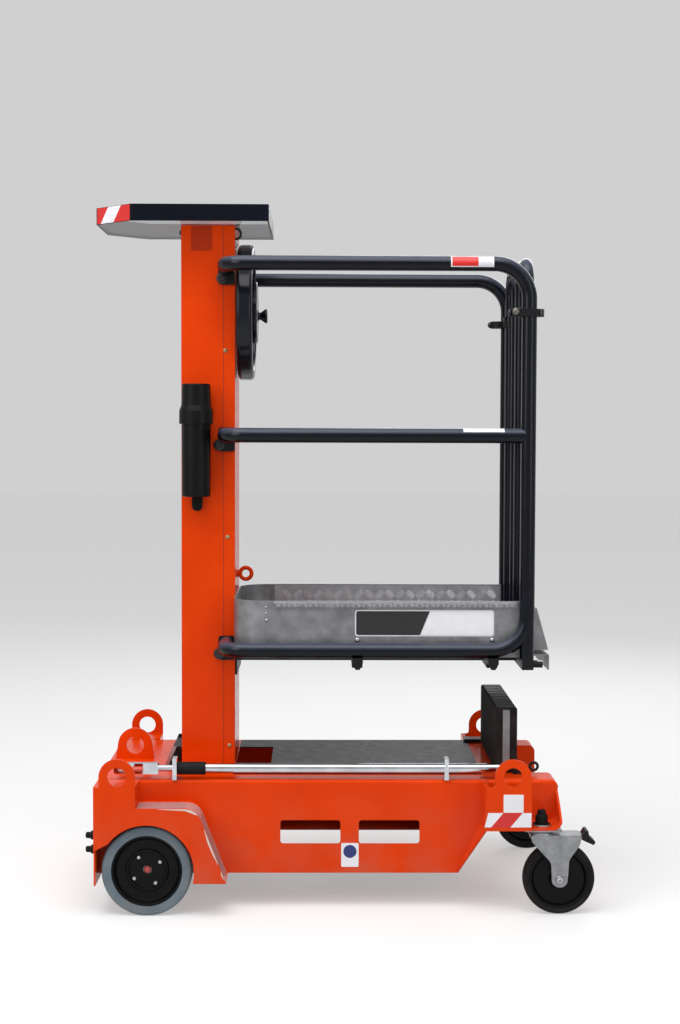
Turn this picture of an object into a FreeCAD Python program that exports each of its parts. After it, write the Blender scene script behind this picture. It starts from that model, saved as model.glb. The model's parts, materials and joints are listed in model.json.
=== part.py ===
"""Vertical mast lift: push-around personnel lift with a telescoping mast.

Frame: millimetres, +Z up, +X towards the entry gate, origin on the floor
below the centre of the outline. Right is -Y and left is +Y.
"""
import FreeCAD, Part
import math
import os

from FreeCAD import Vector

SIDES = [("right", -1), ("left", 1)]
RUN_GAP = 0.3
PIN_GAP = 0.05

# Chassis tub
TUB_REAR_X = -676.0
TUB_FRONT_X = 409.0
TUB_TOE_X = 337.5
BODY_HALF_W = 420.0
COVER_W = 108.0
TUB_HALF_W = BODY_HALF_W - COVER_W
TUB_TOP_Z = 362.0
TUB_BOTTOM_Z = 97.0
TUB_SHEET = 5.0
TUB_BEND = 12.0
TUB_FLANGE_W = 100.0
TUB_LIP_W = 107.0
SKIRT_BOTTOM_Z = 87.0
OUTER_SHEET = 6.0
SOCKET_SHEET = 6.0
SOCKET_FLOOR_Z = 118.0

# Fork slots: columns are start x and end x
FORK_SLOTS = [(-164.0, 5.0), (57.0, 228.0)]
FORK_SLOT_Z = (180.0, 246.7)
FORK_SLOT_R = 8.0

# Rear wheels
REAR_WHEEL_X = -531.0
REAR_WHEEL_D = 250.0
REAR_TYRE_DEPTH = 26.5
REAR_RIM_D = REAR_WHEEL_D - 2 * REAR_TYRE_DEPTH
REAR_TYRE_W = 58.0
REAR_WHEEL_OUT_Y = BODY_HALF_W - 17.0
REAR_TYRE_ROUND = 7.0
REAR_WEB = 8.0
REAR_DISH = 16.0
REAR_RING_D = 121.0
REAR_RING_IN_D = 100.0
REAR_RING_H = 6.0
REAR_RIM_LIP = 6.0
REAR_RIM_SLOPE = 8.0
REAR_RIM_INSET = 2.0
REAR_HUB_D = 50.0
REAR_HUB_L = 42.0
AXLE_D = 25.0
AXLE_TIP = 2.0
AXLE_COLLAR_D = 46.0

# Wheel covers
ARCH_GAP = 6.5
COVER_RISE = 52.0
COVER_AHEAD = 13.0
COVER_SLOPE_L = 82.0
COVER_STEP_X = -561.0
COVER_STEP_Z = REAR_WHEEL_D + COVER_RISE
COVER_SHOULDER_X = REAR_WHEEL_X + REAR_WHEEL_D / 2 + COVER_AHEAD
COVER_SHOULDER_R = 45.0
COVER_TOE = (COVER_SHOULDER_X + COVER_SLOPE_L, 94.0)
COVER_HEEL = (TUB_REAR_X, REAR_WHEEL_D / 2 + 59.0)
COVER_HEEL_TOP = (REAR_WHEEL_X - 41.0, REAR_WHEEL_D / 2 + 111.0)

# Tie-down lugs
LUG_R = 50.0
LUG_HOLE_D = 52.0
LUG_HOLE_Z = 390.0
REAR_LUG_X = -611.0
FRONT_LUG_X = 479.0
MID_LUG_X = -605.5
MID_LUG_HOLE_Z = 402.0
MID_LUG_R = 51.0
MID_LUG_BASE = 114.6
MID_LUG_SHEET = 8.0

# Castor housings: beam beside the step, castor bracket outside it
HOUSING_END_X = 617.0
HOUSING_IN_Y = TUB_HALF_W - 104.0
HOUSING_BOTTOM_Z = 241.0
HOUSING_TOP_R = 19.0
HOUSING_CORNER_R = 28.0
HOUSING_RIB = 22.0
LUG_PLATE_X = (400.0, 532.5)
LUG_PLATE_LEAN = 7.0
LUG_PLATE_R = 8.0
# Upper edge of the bracket's end plate: columns are drop below the top and share of its width
END_PLATE_EDGE = [(29.0, 0.0), (60.5, 0.52), (91.0, 0.94), (100.0, 1.0)]

# Castors
CASTOR_X = 564.5
CASTOR_Y = BODY_HALF_W - 50.0
CASTOR_TRAIL = 48.0
CASTOR_WHEEL_D = 200.0
CASTOR_WHEEL_W = 44.0
CASTOR_RIM_D = 168.0
CASTOR_TYRE_ROUND = 12.0
CASTOR_HUB_D = 46.0
CASTOR_WEB = 14.0
CASTOR_AXLE_D = 12.0
CASTOR_NUT = (21.0, 6.0)
CASTOR_PLATE = (105.0, 80.0, 5.0)
CASTOR_RACE_D = 66.0
CASTOR_RACE_FLARE = 12.0
CASTOR_RACE_H = 11.0
CASTOR_CROWN_H = 7.0
CASTOR_CROWN_REAR = 33.0
CASTOR_CROWN_FRONT = 110.0
CASTOR_CROWN_R = 12.0
CASTOR_LEG_GAP = 5.0
CASTOR_LEG = 4.0
CASTOR_FOOT_R = 21.0
CASTOR_WAIST = (24.0, 48.0, 26.0, 56.0, 30.0)
CASTOR_STUD_D = 16.0
CASTOR_STUD_NECK = 12.0
# Cap over the stud's nut: rows of height, radius and corner radius
CASTOR_CAP = [(0.0, 0.0, 0.0), (0.0, 24.0, 0.0), (6.0, 24.0, 1.0), (6.0, 17.5, 0.0),
              (29.0, 17.5, 4.0), (30.0, 12.5, 1.0), (44.0, 11.0, 6.0), (44.0, 0.0, 0.0)]
# Brake pedal: rows of reach past the crown, height over it and corner radius
BRAKE_ROWS = [(0.0, -4.0, 0.0), (10.0, 12.0, 2.0), (17.0, 12.0, 2.0), (20.0, -6.0, 3.0),
              (38.0, -20.0, 3.0), (33.0, -29.0, 3.0), (12.0, -20.0, 3.0), (0.0, -14.0, 0.0)]
BRAKE_W = 48.0

# Deck
DECK_HOLE_X = -197.0
DECK_HOLE_HALF_W = 165.0
DECK_Y = (-235.0, 283.0)
DECK_SHEET = 3.0
DECK_FOLD = 60.0
SHELF_END_X = 535.0
SHELF_DROP = 60.0

# Mast: each stage slides in the next on a collar
MAST_X = -378.5
COLUMN_D = 155.0
COLUMN_HALF_W = 125.0
COLUMN_SHEET = 4.0
COLUMN_TOP_Z = 1930.0
COLUMN_BOTTOM_Z = 370.0
COLUMN_SEAM = 33.0
COLUMN_CAP = 4.0
STAGE_GAP = 8.0
STAGE_SHEET = 5.0
STAGE_STEP = 30.0
MID_TOP_Z = COLUMN_TOP_Z - STAGE_STEP
MID_BOTTOM_Z = 372.0
BASE_TOP_Z = MID_TOP_Z - STAGE_STEP
COLLAR_H = 60.0
FOOT_GAP = 5.0
FOOT_REACH = 46.5
FOOT_FLAT = 22.5
FOOT_H = 55.0
FOOT_SHEET = 8.0
FOOT_Y = 96.0

# Tool tray
TRAY_X = (-698.0, -200.0)
TRAY_HALF_W = 240.0
TRAY_CHAMFER = 110.0
TRAY_RIM_H = 47.0
TRAY_RIM = 5.0
TRAY_FLOOR = 4.0
TRAY_CORNER_R = 4.0
TRAY_FRONT_R = 8.0

# Handwheel
WHEEL_Z = COLUMN_TOP_Z - 241.0
WHEEL_D = 396.0
WHEEL_X = (-296.0, -250.0)
WHEEL_RIM = 28.0
WHEEL_RIM_ROUND = 11.0
WHEEL_DISH = 14.0
WHEEL_WEB = 8.0
WHEEL_HUB_D = 180.0
WHEEL_HUB_X = (-266.0, -240.0)
WHEEL_NAVE = 17.0
WHEEL_FACE = 8.0
WHEEL_SPOKES = 5
WHEEL_SPOKE_W = 44.0
WHEEL_WINDOW_EDGE = 8.0
WHEEL_WINDOW_ROUND = 14.0
WHEEL_SHAFT_D = 28.0
WHEEL_FLANGE_D = 110.0
WHEEL_FLANGE_H = 12.0
KNOB_RADIUS = 150.0
KNOB_D = (30.0, 20.0, 44.0)
KNOB_STEPS = (8.0, 14.0, 30.0, 36.0)
KNOB_SINK = 2.0
BOSS_D = 34.0

# Document tube on the right of the column
TUBE_X = -410.0
TUBE_Z = (1152.0, 1475.0)
TUBE_D = 83.0
TUBE_WALL_GAP = 3.5
TUBE_COLLAR_D = 97.0
TUBE_COLLAR_Z = (1360.0, 1398.0)
TUBE_COLLAR_TAPER = 16.0
TUBE_STRAP_W = 28.0
TUBE_STRAP_ENDS = (12.0, 40.0)
TUBE_FOOT_R = 15.0
TUBE_FOOT_T = 12.0
TUBE_FOOT_DROP = 28.0

# Platform
FLOOR_Z = 705.0
FLOOR_SHEET = 4.0
FLOOR_END_X = 602.5
FLOOR_LIP = 45.0
FLOOR_LIP_R = 5.0
ENTRY_HALF_W = 215.0
BEAM_H = 30.0
BEAM_W = 40.0
BEAM_Y = 80.0
BEAM_SHEET = 3.0
CROSS_BEAM_X = (52.0, 434.5)
CROSS_BEAM_W = 30.0
ENTRY_BEAM_X = (515.0, 547.0)
CLAMP_TAPER = (12.0, 17.0)
CLAMP_BITE = 1.5
TOE_Y = 260.0
TOE_TOP_Z = FLOOR_Z + 156.5
TOE_SHEET = 3.0
TOE_END_X = 513.5
TOE_CORNER_R = 88.0
HEM_X = (-181.0, 505.0)
HEM_T = 8.0
HEM_H = 18.0
STOP_Y = 250.0
STOP_D = 17.0
STOP_L = 32.0

# Guard rails
RAIL_D = 42.0
RAIL_SHEET = 3.0
RAIL_Y = TOE_Y + 21.5
RAIL_TOP_Z = FLOOR_Z + 1104.0
RAIL_MID_Z = FLOOR_Z + 624.0
RAIL_LOW_Z = FLOOR_Z + 18.0
POST_X = 530.0
POST_BEND = 97.0
POST_FOOT_D = 40.0
RAIL_ROOT_X = -325.0
RAIL_ROOT_BEND = 62.0
ROOT_PLATE = (48.0, 6.0, 70.0)
ROOT_PLATE_DROP = 0.68

# Eye bolt
EYE_X = -275.0
EYE_Z = TOE_TOP_Z + 55.5
EYE_R = 17.0
EYE_WIRE_R = 6.0
EYE_SHANK_D = 10.0
EYE_COLLAR = (22.0, 4.0)

# Gate: two leaves that turn on their outer legs
GATE_D = 34.0
GATE_SHEET = 3.0
GATE_X = 533.0
GATE_Y = (215.0, 48.0)
GATE_TOP_Z = RAIL_TOP_Z + 10.5
GATE_FOOT_Z = FLOOR_Z + 10.0
GATE_BEND = 60.0
GATE_RING = 6.0
GATE_STOP_H = 10.0
GATE_PIN_L = 40.0
BAND_Z = (RAIL_TOP_Z - 147.0, RAIL_TOP_Z - 126.0)
BAND_X = (477.0, 571.0)
BAND_W = 50.0
BAND_ARM_W = 24.0
KICK_TOP = (566.0, FLOOR_Z + 132.0)
KICK_FOOT = (600.0, FLOOR_Z + 12.0)
KICK_SHEET = 3.0
KICK_Y = (16.0, 215.0)

# Folding step
STEP_X = (449.0, 512.0)
STEP_Z = (367.0, 551.0)
STEP_HALF_W = 220.0
STEP_ROUND = 6.0
STEP_AXIS_X = 521.0
STEP_AXIS_Z = 376.0
STEP_KNUCKLE_R = 9.0
STEP_KNUCKLE_L = 50.0
STEP_KNUCKLE_Y = 105.0
STEP_PIN_D = 12.0
STEP_GROOVES = 19
STEP_GROOVE_W = 8.0
STEP_GROOVE_DEPTH = 5.0
STEP_GROOVE_FOOT = 16.0
STEP_TRIM = (20.0, 3.0)
STEP_TRIM_ENDS = (8.0, 6.0)
STEP_PLATE = (46.0, 5.0, 120.0)
EAR_SHEET = 8.0
EAR_GAP = 5.0
EAR_TOP = 12.0
EAR_FOOT = (22.0, 14.0)
RING_X = 559.0
RING_Z = 384.5
RING_R = 11.0
RING_WIRE_R = 4.0
CORNER_PLATE = (400.0, 460.0, 243.0, 290.0, 10.0)

# Stowed pole
POLE_Y = TUB_HALF_W - 12.0
POLE_Z = TUB_TOP_Z + 30.0
POLE_D = 28.0
POLE_X = (-374.0, 452.0)
GRIP_D = 36.0
GRIP_X = -455.0
FORK_STEM = (18.0, 52.0)
FORK_END_X = -632.0
FORK_H = 30.0
FORK_W = 24.0
FORK_SLOT_X = (-582.0, -549.5)
FORK_SLOT_H = 13.0
FORK_PIN = (14.0, 18.0)
CLIP_X = (-467.0, 297.0)
CLIP_W = 12.0
CLIP_R = 21.0
CLIP_TOP = 30.0

# Rear buffers: columns are height; both sides sit the same distance out
BUFFER_Y = TUB_HALF_W - 12.0
BUFFER_Z = (201.6, 161.7)
BUFFER_D = 26.0
BUFFER_NOSE_D = 17.7
BUFFER_L = 37.0
BUFFER_FOOT_L = 20.5
BUFFER_TAPER_L = 2.5


def at(x=0.0, y=0.0, z=0.0):
    return Vector(x, y, z)


def block(x0, x1, y0, y1, z0, z1):
    """Box between two corners, in any order along y."""
    low_y = min(y0, y1)
    return Part.makeBox(x1 - x0, abs(y1 - y0), z1 - z0, at(x0, low_y, z0))


def rod(start, axis, diameter, length):
    return Part.makeCylinder(diameter / 2, length, start, axis)


def fuse_all(shapes):
    whole = shapes[0]
    for shape in shapes[1:]:
        whole = whole.fuse(shape)
    return whole.removeSplitter()


def path_edges(points, radii, closed):
    """Lines between points, with a tangent arc of the given radius at each corner."""
    count = len(points)
    entries = []
    exits = []
    middles = []
    for index, (point, radius) in enumerate(zip(points, radii)):
        end = not closed and index in (0, count - 1)
        if end or radius <= 0:
            entries.append(point)
            exits.append(point)
            middles.append(None)
            continue
        back = (points[index - 1] - point).normalize()
        ahead = (points[(index + 1) % count] - point).normalize()
        half = back.getAngle(ahead) / 2
        reach = radius / math.tan(half)
        centre = point + (back + ahead).normalize() * (radius / math.sin(half))
        entries.append(point + back * reach)
        exits.append(point + ahead * reach)
        middles.append(centre + (point - centre).normalize() * radius)
    edges = []
    for index in range(count):
        if middles[index] is not None:
            edges.append(Part.Arc(entries[index], middles[index], exits[index]).toShape())
        last = index == count - 1
        if last and not closed:
            break
        following = entries[(index + 1) % count]
        if (following - exits[index]).Length > 1e-6:
            edges.append(Part.LineSegment(exits[index], following).toShape())
    return edges


def side_plate(profile, y0, y1, s=1):
    """Plate in the XZ plane from rows of x, z and corner radius."""
    points = [at(x, s * y0, z) for x, z, radius in profile]
    radii = [radius for x, z, radius in profile]
    face = Part.Face(Part.Wire(path_edges(points, radii, True)))
    return face.extrude(at(0, s * (y1 - y0), 0))


def flat_plate(profile, z0, z1):
    """Plate in the XY plane from rows of x, y and corner radius."""
    points = [at(x, y, z0) for x, y, radius in profile]
    radii = [radius for x, y, radius in profile]
    face = Part.Face(Part.Wire(path_edges(points, radii, True)))
    return face.extrude(at(0, 0, z1 - z0))


def front_plate(profile, x0, x1):
    """Plate in the YZ plane from rows of y, z and corner radius."""
    points = [at(x0, y, z) for y, z, radius in profile]
    radii = [radius for y, z, radius in profile]
    face = Part.Face(Part.Wire(path_edges(points, radii, True)))
    return face.extrude(at(x1 - x0, 0, 0))


def inset(profile, depth):
    """The same closed outline, moved inwards, for a profile that turns clockwise."""
    moved = []
    count = len(profile)
    for index, (a, b, radius) in enumerate(profile):
        before = profile[index - 1]
        after = profile[(index + 1) % count]
        d1 = (a - before[0], b - before[1])
        d2 = (after[0] - a, after[1] - b)
        l1 = math.hypot(*d1)
        l2 = math.hypot(*d2)
        n1 = (d1[1] / l1, -d1[0] / l1)
        n2 = (d2[1] / l2, -d2[0] / l2)
        scale = depth / (1 + n1[0] * n2[0] + n1[1] * n2[1])
        moved.append((a + (n1[0] + n2[0]) * scale, b + (n1[1] + n2[1]) * scale,
                      max(radius - depth, 0)))
    return moved


def swept(points, radii, diameter):
    """Round bar along a bent path."""
    path = Part.Wire(path_edges(points, radii, False))
    start = points[0]
    circle = Part.Circle(start, points[1] - start, diameter / 2)
    return path.makePipeShell([Part.Wire(circle.toShape())], True, True)


def turned(profile, origin, axis):
    """Solid of revolution from rows of distance along the axis, radius and corner radius."""
    points = [at(radius, 0, along) for along, radius, corner in profile]
    corners = [corner for along, radius, corner in profile]
    face = Part.Face(Part.Wire(path_edges(points, corners, True)))
    solid = face.revolve(at(), at(0, 0, 1), 360)
    placed = FreeCAD.Placement(origin, FreeCAD.Rotation(at(0, 0, 1), axis))
    solid.Placement = placed.multiply(solid.Placement)
    return solid


def box_tube(centre_x, depth, half_w, sheet, z0, z1):
    """Upright rectangular tube."""
    half_d = depth / 2
    outer = block(centre_x - half_d, centre_x + half_d, -half_w, half_w, z0, z1)
    inner = block(centre_x - half_d + sheet, centre_x + half_d - sheet,
                  -half_w + sheet, half_w - sheet, z0, z1)
    return outer.cut(inner)


# Mast sizes that follow from the column
COLUMN_REAR_X = MAST_X - COLUMN_D / 2
COLUMN_FRONT_X = MAST_X + COLUMN_D / 2
MID_D = COLUMN_D - 2 * (COLUMN_SHEET + STAGE_GAP)
MID_HALF_W = COLUMN_HALF_W - COLUMN_SHEET - STAGE_GAP
BASE_D = MID_D - 2 * (STAGE_SHEET + STAGE_GAP)
BASE_HALF_W = MID_HALF_W - STAGE_SHEET - STAGE_GAP
COVER_IN_Y = BODY_HALF_W - OUTER_SHEET
WHEEL_AXIS_Z = REAR_WHEEL_D / 2
REAR_WHEEL_IN_Y = REAR_WHEEL_OUT_Y - REAR_TYRE_W
CASTOR_AXLE_X = CASTOR_X + CASTOR_TRAIL
CASTOR_AXLE_Z = CASTOR_WHEEL_D / 2
HOUSING_SHEET = OUTER_SHEET


def fork_slot(start_x, end_x):
    low, high = FORK_SLOT_Z
    rows = [(start_x, low, FORK_SLOT_R), (start_x, high, FORK_SLOT_R),
            (end_x, high, FORK_SLOT_R), (end_x, low, FORK_SLOT_R)]
    return side_plate(rows, -BODY_HALF_W, BODY_HALF_W)


def tub_solid(depth):
    """The tub filled solid, moved inwards by a depth, with bent upper edges."""
    rear_in = TUB_REAR_X + TUB_SHEET
    outline = [(rear_in, TUB_BOTTOM_Z, 0), (rear_in, TUB_TOP_Z, 0), (TUB_FRONT_X, TUB_TOP_Z, 0),
               (TUB_FRONT_X, HOUSING_BOTTOM_Z, 0), (TUB_TOE_X, TUB_BOTTOM_Z, 0)]
    half = TUB_HALF_W - depth
    low = TUB_BOTTOM_Z + depth
    high = TUB_TOP_Z - depth
    bend = TUB_BEND - depth
    section = [(-half, low, 0), (-half, high, bend), (half, high, bend), (half, low, 0)]
    side = side_plate(inset(outline, depth), -half, half)
    return side.common(front_plate(section, TUB_REAR_X, TUB_FRONT_X))


def chassis_frame():
    """Folded tub with side walls, rear skirt, mast socket and the shelf for the step."""
    wall = TUB_HALF_W - TUB_SHEET
    rear_in = TUB_REAR_X + TUB_SHEET
    tub = tub_solid(0).cut(tub_solid(TUB_SHEET))
    lip = wall - TUB_LIP_W
    open_bottom = block(rear_in, TUB_TOE_X - TUB_SHEET, -lip, lip,
                        TUB_BOTTOM_Z, TUB_BOTTOM_Z + TUB_SHEET)
    well = TUB_HALF_W - TUB_FLANGE_W
    under_top = TUB_TOP_Z - TUB_SHEET
    open_top = block(COLUMN_FRONT_X, TUB_FRONT_X - TUB_FLANGE_W, -well, well, under_top, TUB_TOP_Z)
    tub = tub.cut(open_bottom).cut(open_top)
    skirt = block(TUB_REAR_X, rear_in, -COVER_IN_Y, COVER_IN_Y, SKIRT_BOTTOM_Z, TUB_TOP_Z)
    half_base = BASE_D / 2
    web_rear = block(MAST_X - half_base - SOCKET_SHEET, MAST_X - half_base, -wall, wall,
                     SOCKET_FLOOR_Z, under_top)
    web_front = block(MAST_X + half_base, MAST_X + half_base + SOCKET_SHEET, -wall, wall,
                      SOCKET_FLOOR_Z, under_top)
    socket_floor = block(MAST_X - half_base, MAST_X + half_base, -wall, wall,
                         SOCKET_FLOOR_Z, SOCKET_FLOOR_Z + SOCKET_SHEET)
    webs = fuse_all([web_rear, web_front, socket_floor]).common(tub_solid(TUB_SHEET))
    shelf = block(TUB_FRONT_X, SHELF_END_X, -HOUSING_IN_Y, HOUSING_IN_Y, under_top, TUB_TOP_Z)
    shelf_lip = block(SHELF_END_X - TUB_SHEET, SHELF_END_X, -HOUSING_IN_Y, HOUSING_IN_Y,
                      TUB_TOP_Z - SHELF_DROP, TUB_TOP_Z)
    frame = fuse_all([tub, skirt, webs, shelf, shelf_lip])
    mast_hole = block(MAST_X - half_base, MAST_X + half_base, -BASE_HALF_W, BASE_HALF_W,
                      under_top, TUB_TOP_Z)
    frame = frame.cut(mast_hole)
    for start_x, end_x in FORK_SLOTS:
        frame = frame.cut(fork_slot(start_x, end_x))
    axle_hole = rod(at(REAR_WHEEL_X, -TUB_HALF_W, WHEEL_AXIS_Z), at(0, 1, 0), AXLE_D, 2 * TUB_HALF_W)
    return frame.cut(axle_hole)


def lug_outline(centre_x, foot_z):
    """Round-topped lug standing on a plate edge."""
    return [(centre_x - LUG_R, foot_z, 0), (centre_x - LUG_R, LUG_HOLE_Z + LUG_R, LUG_R - 0.01),
            (centre_x + LUG_R, LUG_HOLE_Z + LUG_R, LUG_R - 0.01), (centre_x + LUG_R, foot_z, 0)]


def lug_hole(centre_x, hole_z, s):
    return rod(at(centre_x, s * COVER_IN_Y - OUTER_SHEET * 2, hole_z), at(0, 1, 0),
               LUG_HOLE_D, OUTER_SHEET * 4)


def wheel_cover(s):
    """Outer plate with arch, its folded edge and the rear lug."""
    outline = [COVER_HEEL + (0,), (TUB_REAR_X, TUB_TOP_Z, 0), (COVER_STEP_X, TUB_TOP_Z, 0),
               (COVER_STEP_X, COVER_STEP_Z, 0), (COVER_SHOULDER_X, COVER_STEP_Z, COVER_SHOULDER_R),
               COVER_TOE + (0,), (REAR_WHEEL_X + REAR_WHEEL_D / 2 + ARCH_GAP, COVER_TOE[1], 0),
               (REAR_WHEEL_X, WHEEL_AXIS_Z, 0), COVER_HEEL_TOP + (0,)]
    plate = side_plate(outline, COVER_IN_Y, BODY_HALF_W, s)
    plate = plate.fuse(side_plate(lug_outline(REAR_LUG_X, COVER_STEP_Z), COVER_IN_Y, BODY_HALF_W, s))
    low = COVER_TOE[1]
    band_rows = [(TUB_REAR_X + TUB_SHEET, low, 0), (TUB_REAR_X + TUB_SHEET, TUB_TOP_Z, 0),
                 (COVER_STEP_X, TUB_TOP_Z, 0), (COVER_STEP_X, COVER_STEP_Z, 0),
                 (COVER_SHOULDER_X, COVER_STEP_Z, COVER_SHOULDER_R), COVER_TOE + (0,)]
    band = side_plate(band_rows, TUB_HALF_W, COVER_IN_Y, s)
    inner_rows = inset(band_rows, TUB_SHEET)
    hollow = side_plate(inner_rows, TUB_HALF_W, COVER_IN_Y, s)
    below = block(TUB_REAR_X, COVER_TOE[0] - TUB_SHEET * 2, s * TUB_HALF_W, s * COVER_IN_Y,
                  low - TUB_SHEET, low + TUB_SHEET)
    heel = block(TUB_REAR_X, TUB_REAR_X + TUB_SHEET * 3, s * TUB_HALF_W, s * COVER_IN_Y,
                 low - TUB_SHEET, TUB_TOP_Z - TUB_SHEET)
    band = band.cut(fuse_all([hollow, below, heel]))
    arch = rod(at(REAR_WHEEL_X, s * TUB_HALF_W, WHEEL_AXIS_Z), at(0, s, 0),
               REAR_WHEEL_D + 2 * ARCH_GAP, BODY_HALF_W)
    cover = plate.fuse(band).removeSplitter()
    return cover.cut(arch).cut(lug_hole(REAR_LUG_X, LUG_HOLE_Z, s))


def castor_housing(s):
    """Beam beside the step, the castor's bracket outside it and the gusset down the tub's toe."""
    sheet = HOUSING_SHEET
    rows = [(TUB_FRONT_X, HOUSING_BOTTOM_Z, 0), (TUB_FRONT_X, TUB_TOP_Z, 0),
            (HOUSING_END_X, TUB_TOP_Z, HOUSING_TOP_R), (HOUSING_END_X, HOUSING_BOTTOM_Z, HOUSING_CORNER_R)]
    inner_rows = inset(rows, sheet)
    outer_section = [(s * HOUSING_IN_Y, HOUSING_BOTTOM_Z, 0), (s * HOUSING_IN_Y, TUB_TOP_Z, 0),
                     (s * TUB_HALF_W, TUB_TOP_Z, TUB_BEND), (s * TUB_HALF_W, HOUSING_BOTTOM_Z, 0)]
    inner_section = [(s * (HOUSING_IN_Y + sheet), HOUSING_BOTTOM_Z, 0),
                     (s * (HOUSING_IN_Y + sheet), TUB_TOP_Z - sheet, 0),
                     (s * (TUB_HALF_W - sheet), TUB_TOP_Z - sheet, TUB_BEND - sheet),
                     (s * (TUB_HALF_W - sheet), HOUSING_BOTTOM_Z, 0)]
    beam = side_plate(rows, HOUSING_IN_Y, TUB_HALF_W, s)
    beam = beam.common(front_plate(outer_section, TUB_FRONT_X, HOUSING_END_X))
    hollow = side_plate(inner_rows, HOUSING_IN_Y, TUB_HALF_W, s)
    hollow = hollow.common(front_plate(inner_section, TUB_FRONT_X, HOUSING_END_X))
    window = block(TUB_FRONT_X + HOUSING_RIB, HOUSING_END_X - 2 * HOUSING_RIB,
                   s * (HOUSING_IN_Y + HOUSING_RIB), s * (TUB_HALF_W - HOUSING_RIB),
                   HOUSING_BOTTOM_Z, HOUSING_BOTTOM_Z + sheet)
    beam = beam.cut(hollow).cut(window)
    bracket = side_plate(rows, TUB_HALF_W, COVER_IN_Y, s)
    bracket = bracket.cut(side_plate(inner_rows, TUB_HALF_W, COVER_IN_Y, s))
    width = COVER_IN_Y - TUB_HALF_W
    edge = [(s * (TUB_HALF_W + share * width), TUB_TOP_Z - drop, 0) for drop, share in END_PLATE_EDGE]
    beyond = s * (COVER_IN_Y + sheet)
    above = [(s * TUB_HALF_W, TUB_TOP_Z + sheet, 0)] + edge
    above += [(beyond, edge[-1][1], 0), (beyond, TUB_TOP_Z + sheet, 0)]
    bracket = bracket.cut(front_plate(above, TUB_FRONT_X + sheet, HOUSING_END_X + sheet))
    stud_hole = rod(at(CASTOR_X, s * CASTOR_Y, HOUSING_BOTTOM_Z), at(0, 0, 1), CASTOR_STUD_D, sheet)
    slope = [(TUB_TOE_X, TUB_BOTTOM_Z, 0), (TUB_FRONT_X, HOUSING_BOTTOM_Z, 0),
             (TUB_FRONT_X - sheet, HOUSING_BOTTOM_Z, 0), (TUB_TOE_X - sheet, TUB_BOTTOM_Z, 0)]
    gusset = side_plate(slope, TUB_HALF_W, COVER_IN_Y, s)
    reach = 2 * sheet
    corner = [(s * TUB_HALF_W, TUB_BOTTOM_Z, 0), (s * COVER_IN_Y, HOUSING_BOTTOM_Z, 0),
              (s * TUB_HALF_W, HOUSING_BOTTOM_Z, 0)]
    gusset = gusset.common(front_plate(corner, TUB_TOE_X - reach, TUB_FRONT_X + reach))
    cheek = block(TUB_FRONT_X - sheet, TUB_FRONT_X, s * TUB_HALF_W, s * COVER_IN_Y,
                  HOUSING_BOTTOM_Z, TUB_TOP_Z)
    return fuse_all([beam, bracket.cut(stud_hole), gusset, cheek])


def front_lug(s):
    """Outer plate of the castor bracket with its lug."""
    x0, x1 = LUG_PLATE_X
    rows = [(x0, HOUSING_BOTTOM_Z, 0), (x0 + LUG_PLATE_LEAN, TUB_TOP_Z, LUG_PLATE_R / 2),
            (FRONT_LUG_X - LUG_R, TUB_TOP_Z, LUG_PLATE_R),
            (FRONT_LUG_X - LUG_R, LUG_HOLE_Z + LUG_R, LUG_R - 0.01),
            (FRONT_LUG_X + LUG_R, LUG_HOLE_Z + LUG_R, LUG_R - 0.01), (x1, HOUSING_BOTTOM_Z, 0)]
    return side_plate(rows, COVER_IN_Y, BODY_HALF_W, s).cut(lug_hole(FRONT_LUG_X, LUG_HOLE_Z, s))


def middle_lug():
    """Flared lug on the centre line behind the mast: a disc with straight sides down to the tub."""
    half_base = MID_LUG_BASE / 2
    rise = MID_LUG_HOLE_Z - TUB_TOP_Z
    lean = math.acos(MID_LUG_R / math.hypot(half_base, rise)) - math.atan2(rise, half_base)
    touch_x = MID_LUG_R * math.cos(lean)
    touch_z = MID_LUG_HOLE_Z + MID_LUG_R * math.sin(lean)
    low_y = -MID_LUG_SHEET / 2
    rows = [(MID_LUG_X - half_base, TUB_TOP_Z, 0), (MID_LUG_X - touch_x, touch_z, 0),
            (MID_LUG_X + touch_x, touch_z, 0), (MID_LUG_X + half_base, TUB_TOP_Z, 0)]
    foot = side_plate(rows, low_y, -low_y)
    disc = rod(at(MID_LUG_X, low_y, MID_LUG_HOLE_Z), at(0, 1, 0), 2 * MID_LUG_R, MID_LUG_SHEET)
    hole = rod(at(MID_LUG_X, low_y, MID_LUG_HOLE_Z), at(0, 1, 0), LUG_HOLE_D, MID_LUG_SHEET)
    below = block(MID_LUG_X - half_base, MID_LUG_X + half_base, low_y, -low_y,
                  TUB_TOP_Z - MID_LUG_R, TUB_TOP_Z)
    return fuse_all([foot, disc]).cut(hole).cut(below)


def deck_cover():
    """Dark sheet over the tub, notched round the mast and folded down at the notch."""
    low_y, high_y = DECK_Y
    hole = DECK_HOLE_HALF_W
    rows = [(COLUMN_FRONT_X, low_y, 0), (COLUMN_FRONT_X, -hole, 0), (DECK_HOLE_X, -hole, 0),
            (DECK_HOLE_X, hole, 0), (COLUMN_FRONT_X, hole, 0), (COLUMN_FRONT_X, high_y, 0),
            (TUB_FRONT_X, high_y, 0), (TUB_FRONT_X, low_y, 0)]
    top = flat_plate(rows, TUB_TOP_Z, TUB_TOP_Z + DECK_SHEET)
    fold = block(DECK_HOLE_X, DECK_HOLE_X + DECK_SHEET, -hole, hole, TUB_TOP_Z - DECK_FOLD, TUB_TOP_Z)
    return top.fuse(fold).removeSplitter()


def base_mast():
    return box_tube(MAST_X, BASE_D, BASE_HALF_W, STAGE_SHEET, SOCKET_FLOOR_Z + SOCKET_SHEET, BASE_TOP_Z)


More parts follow.
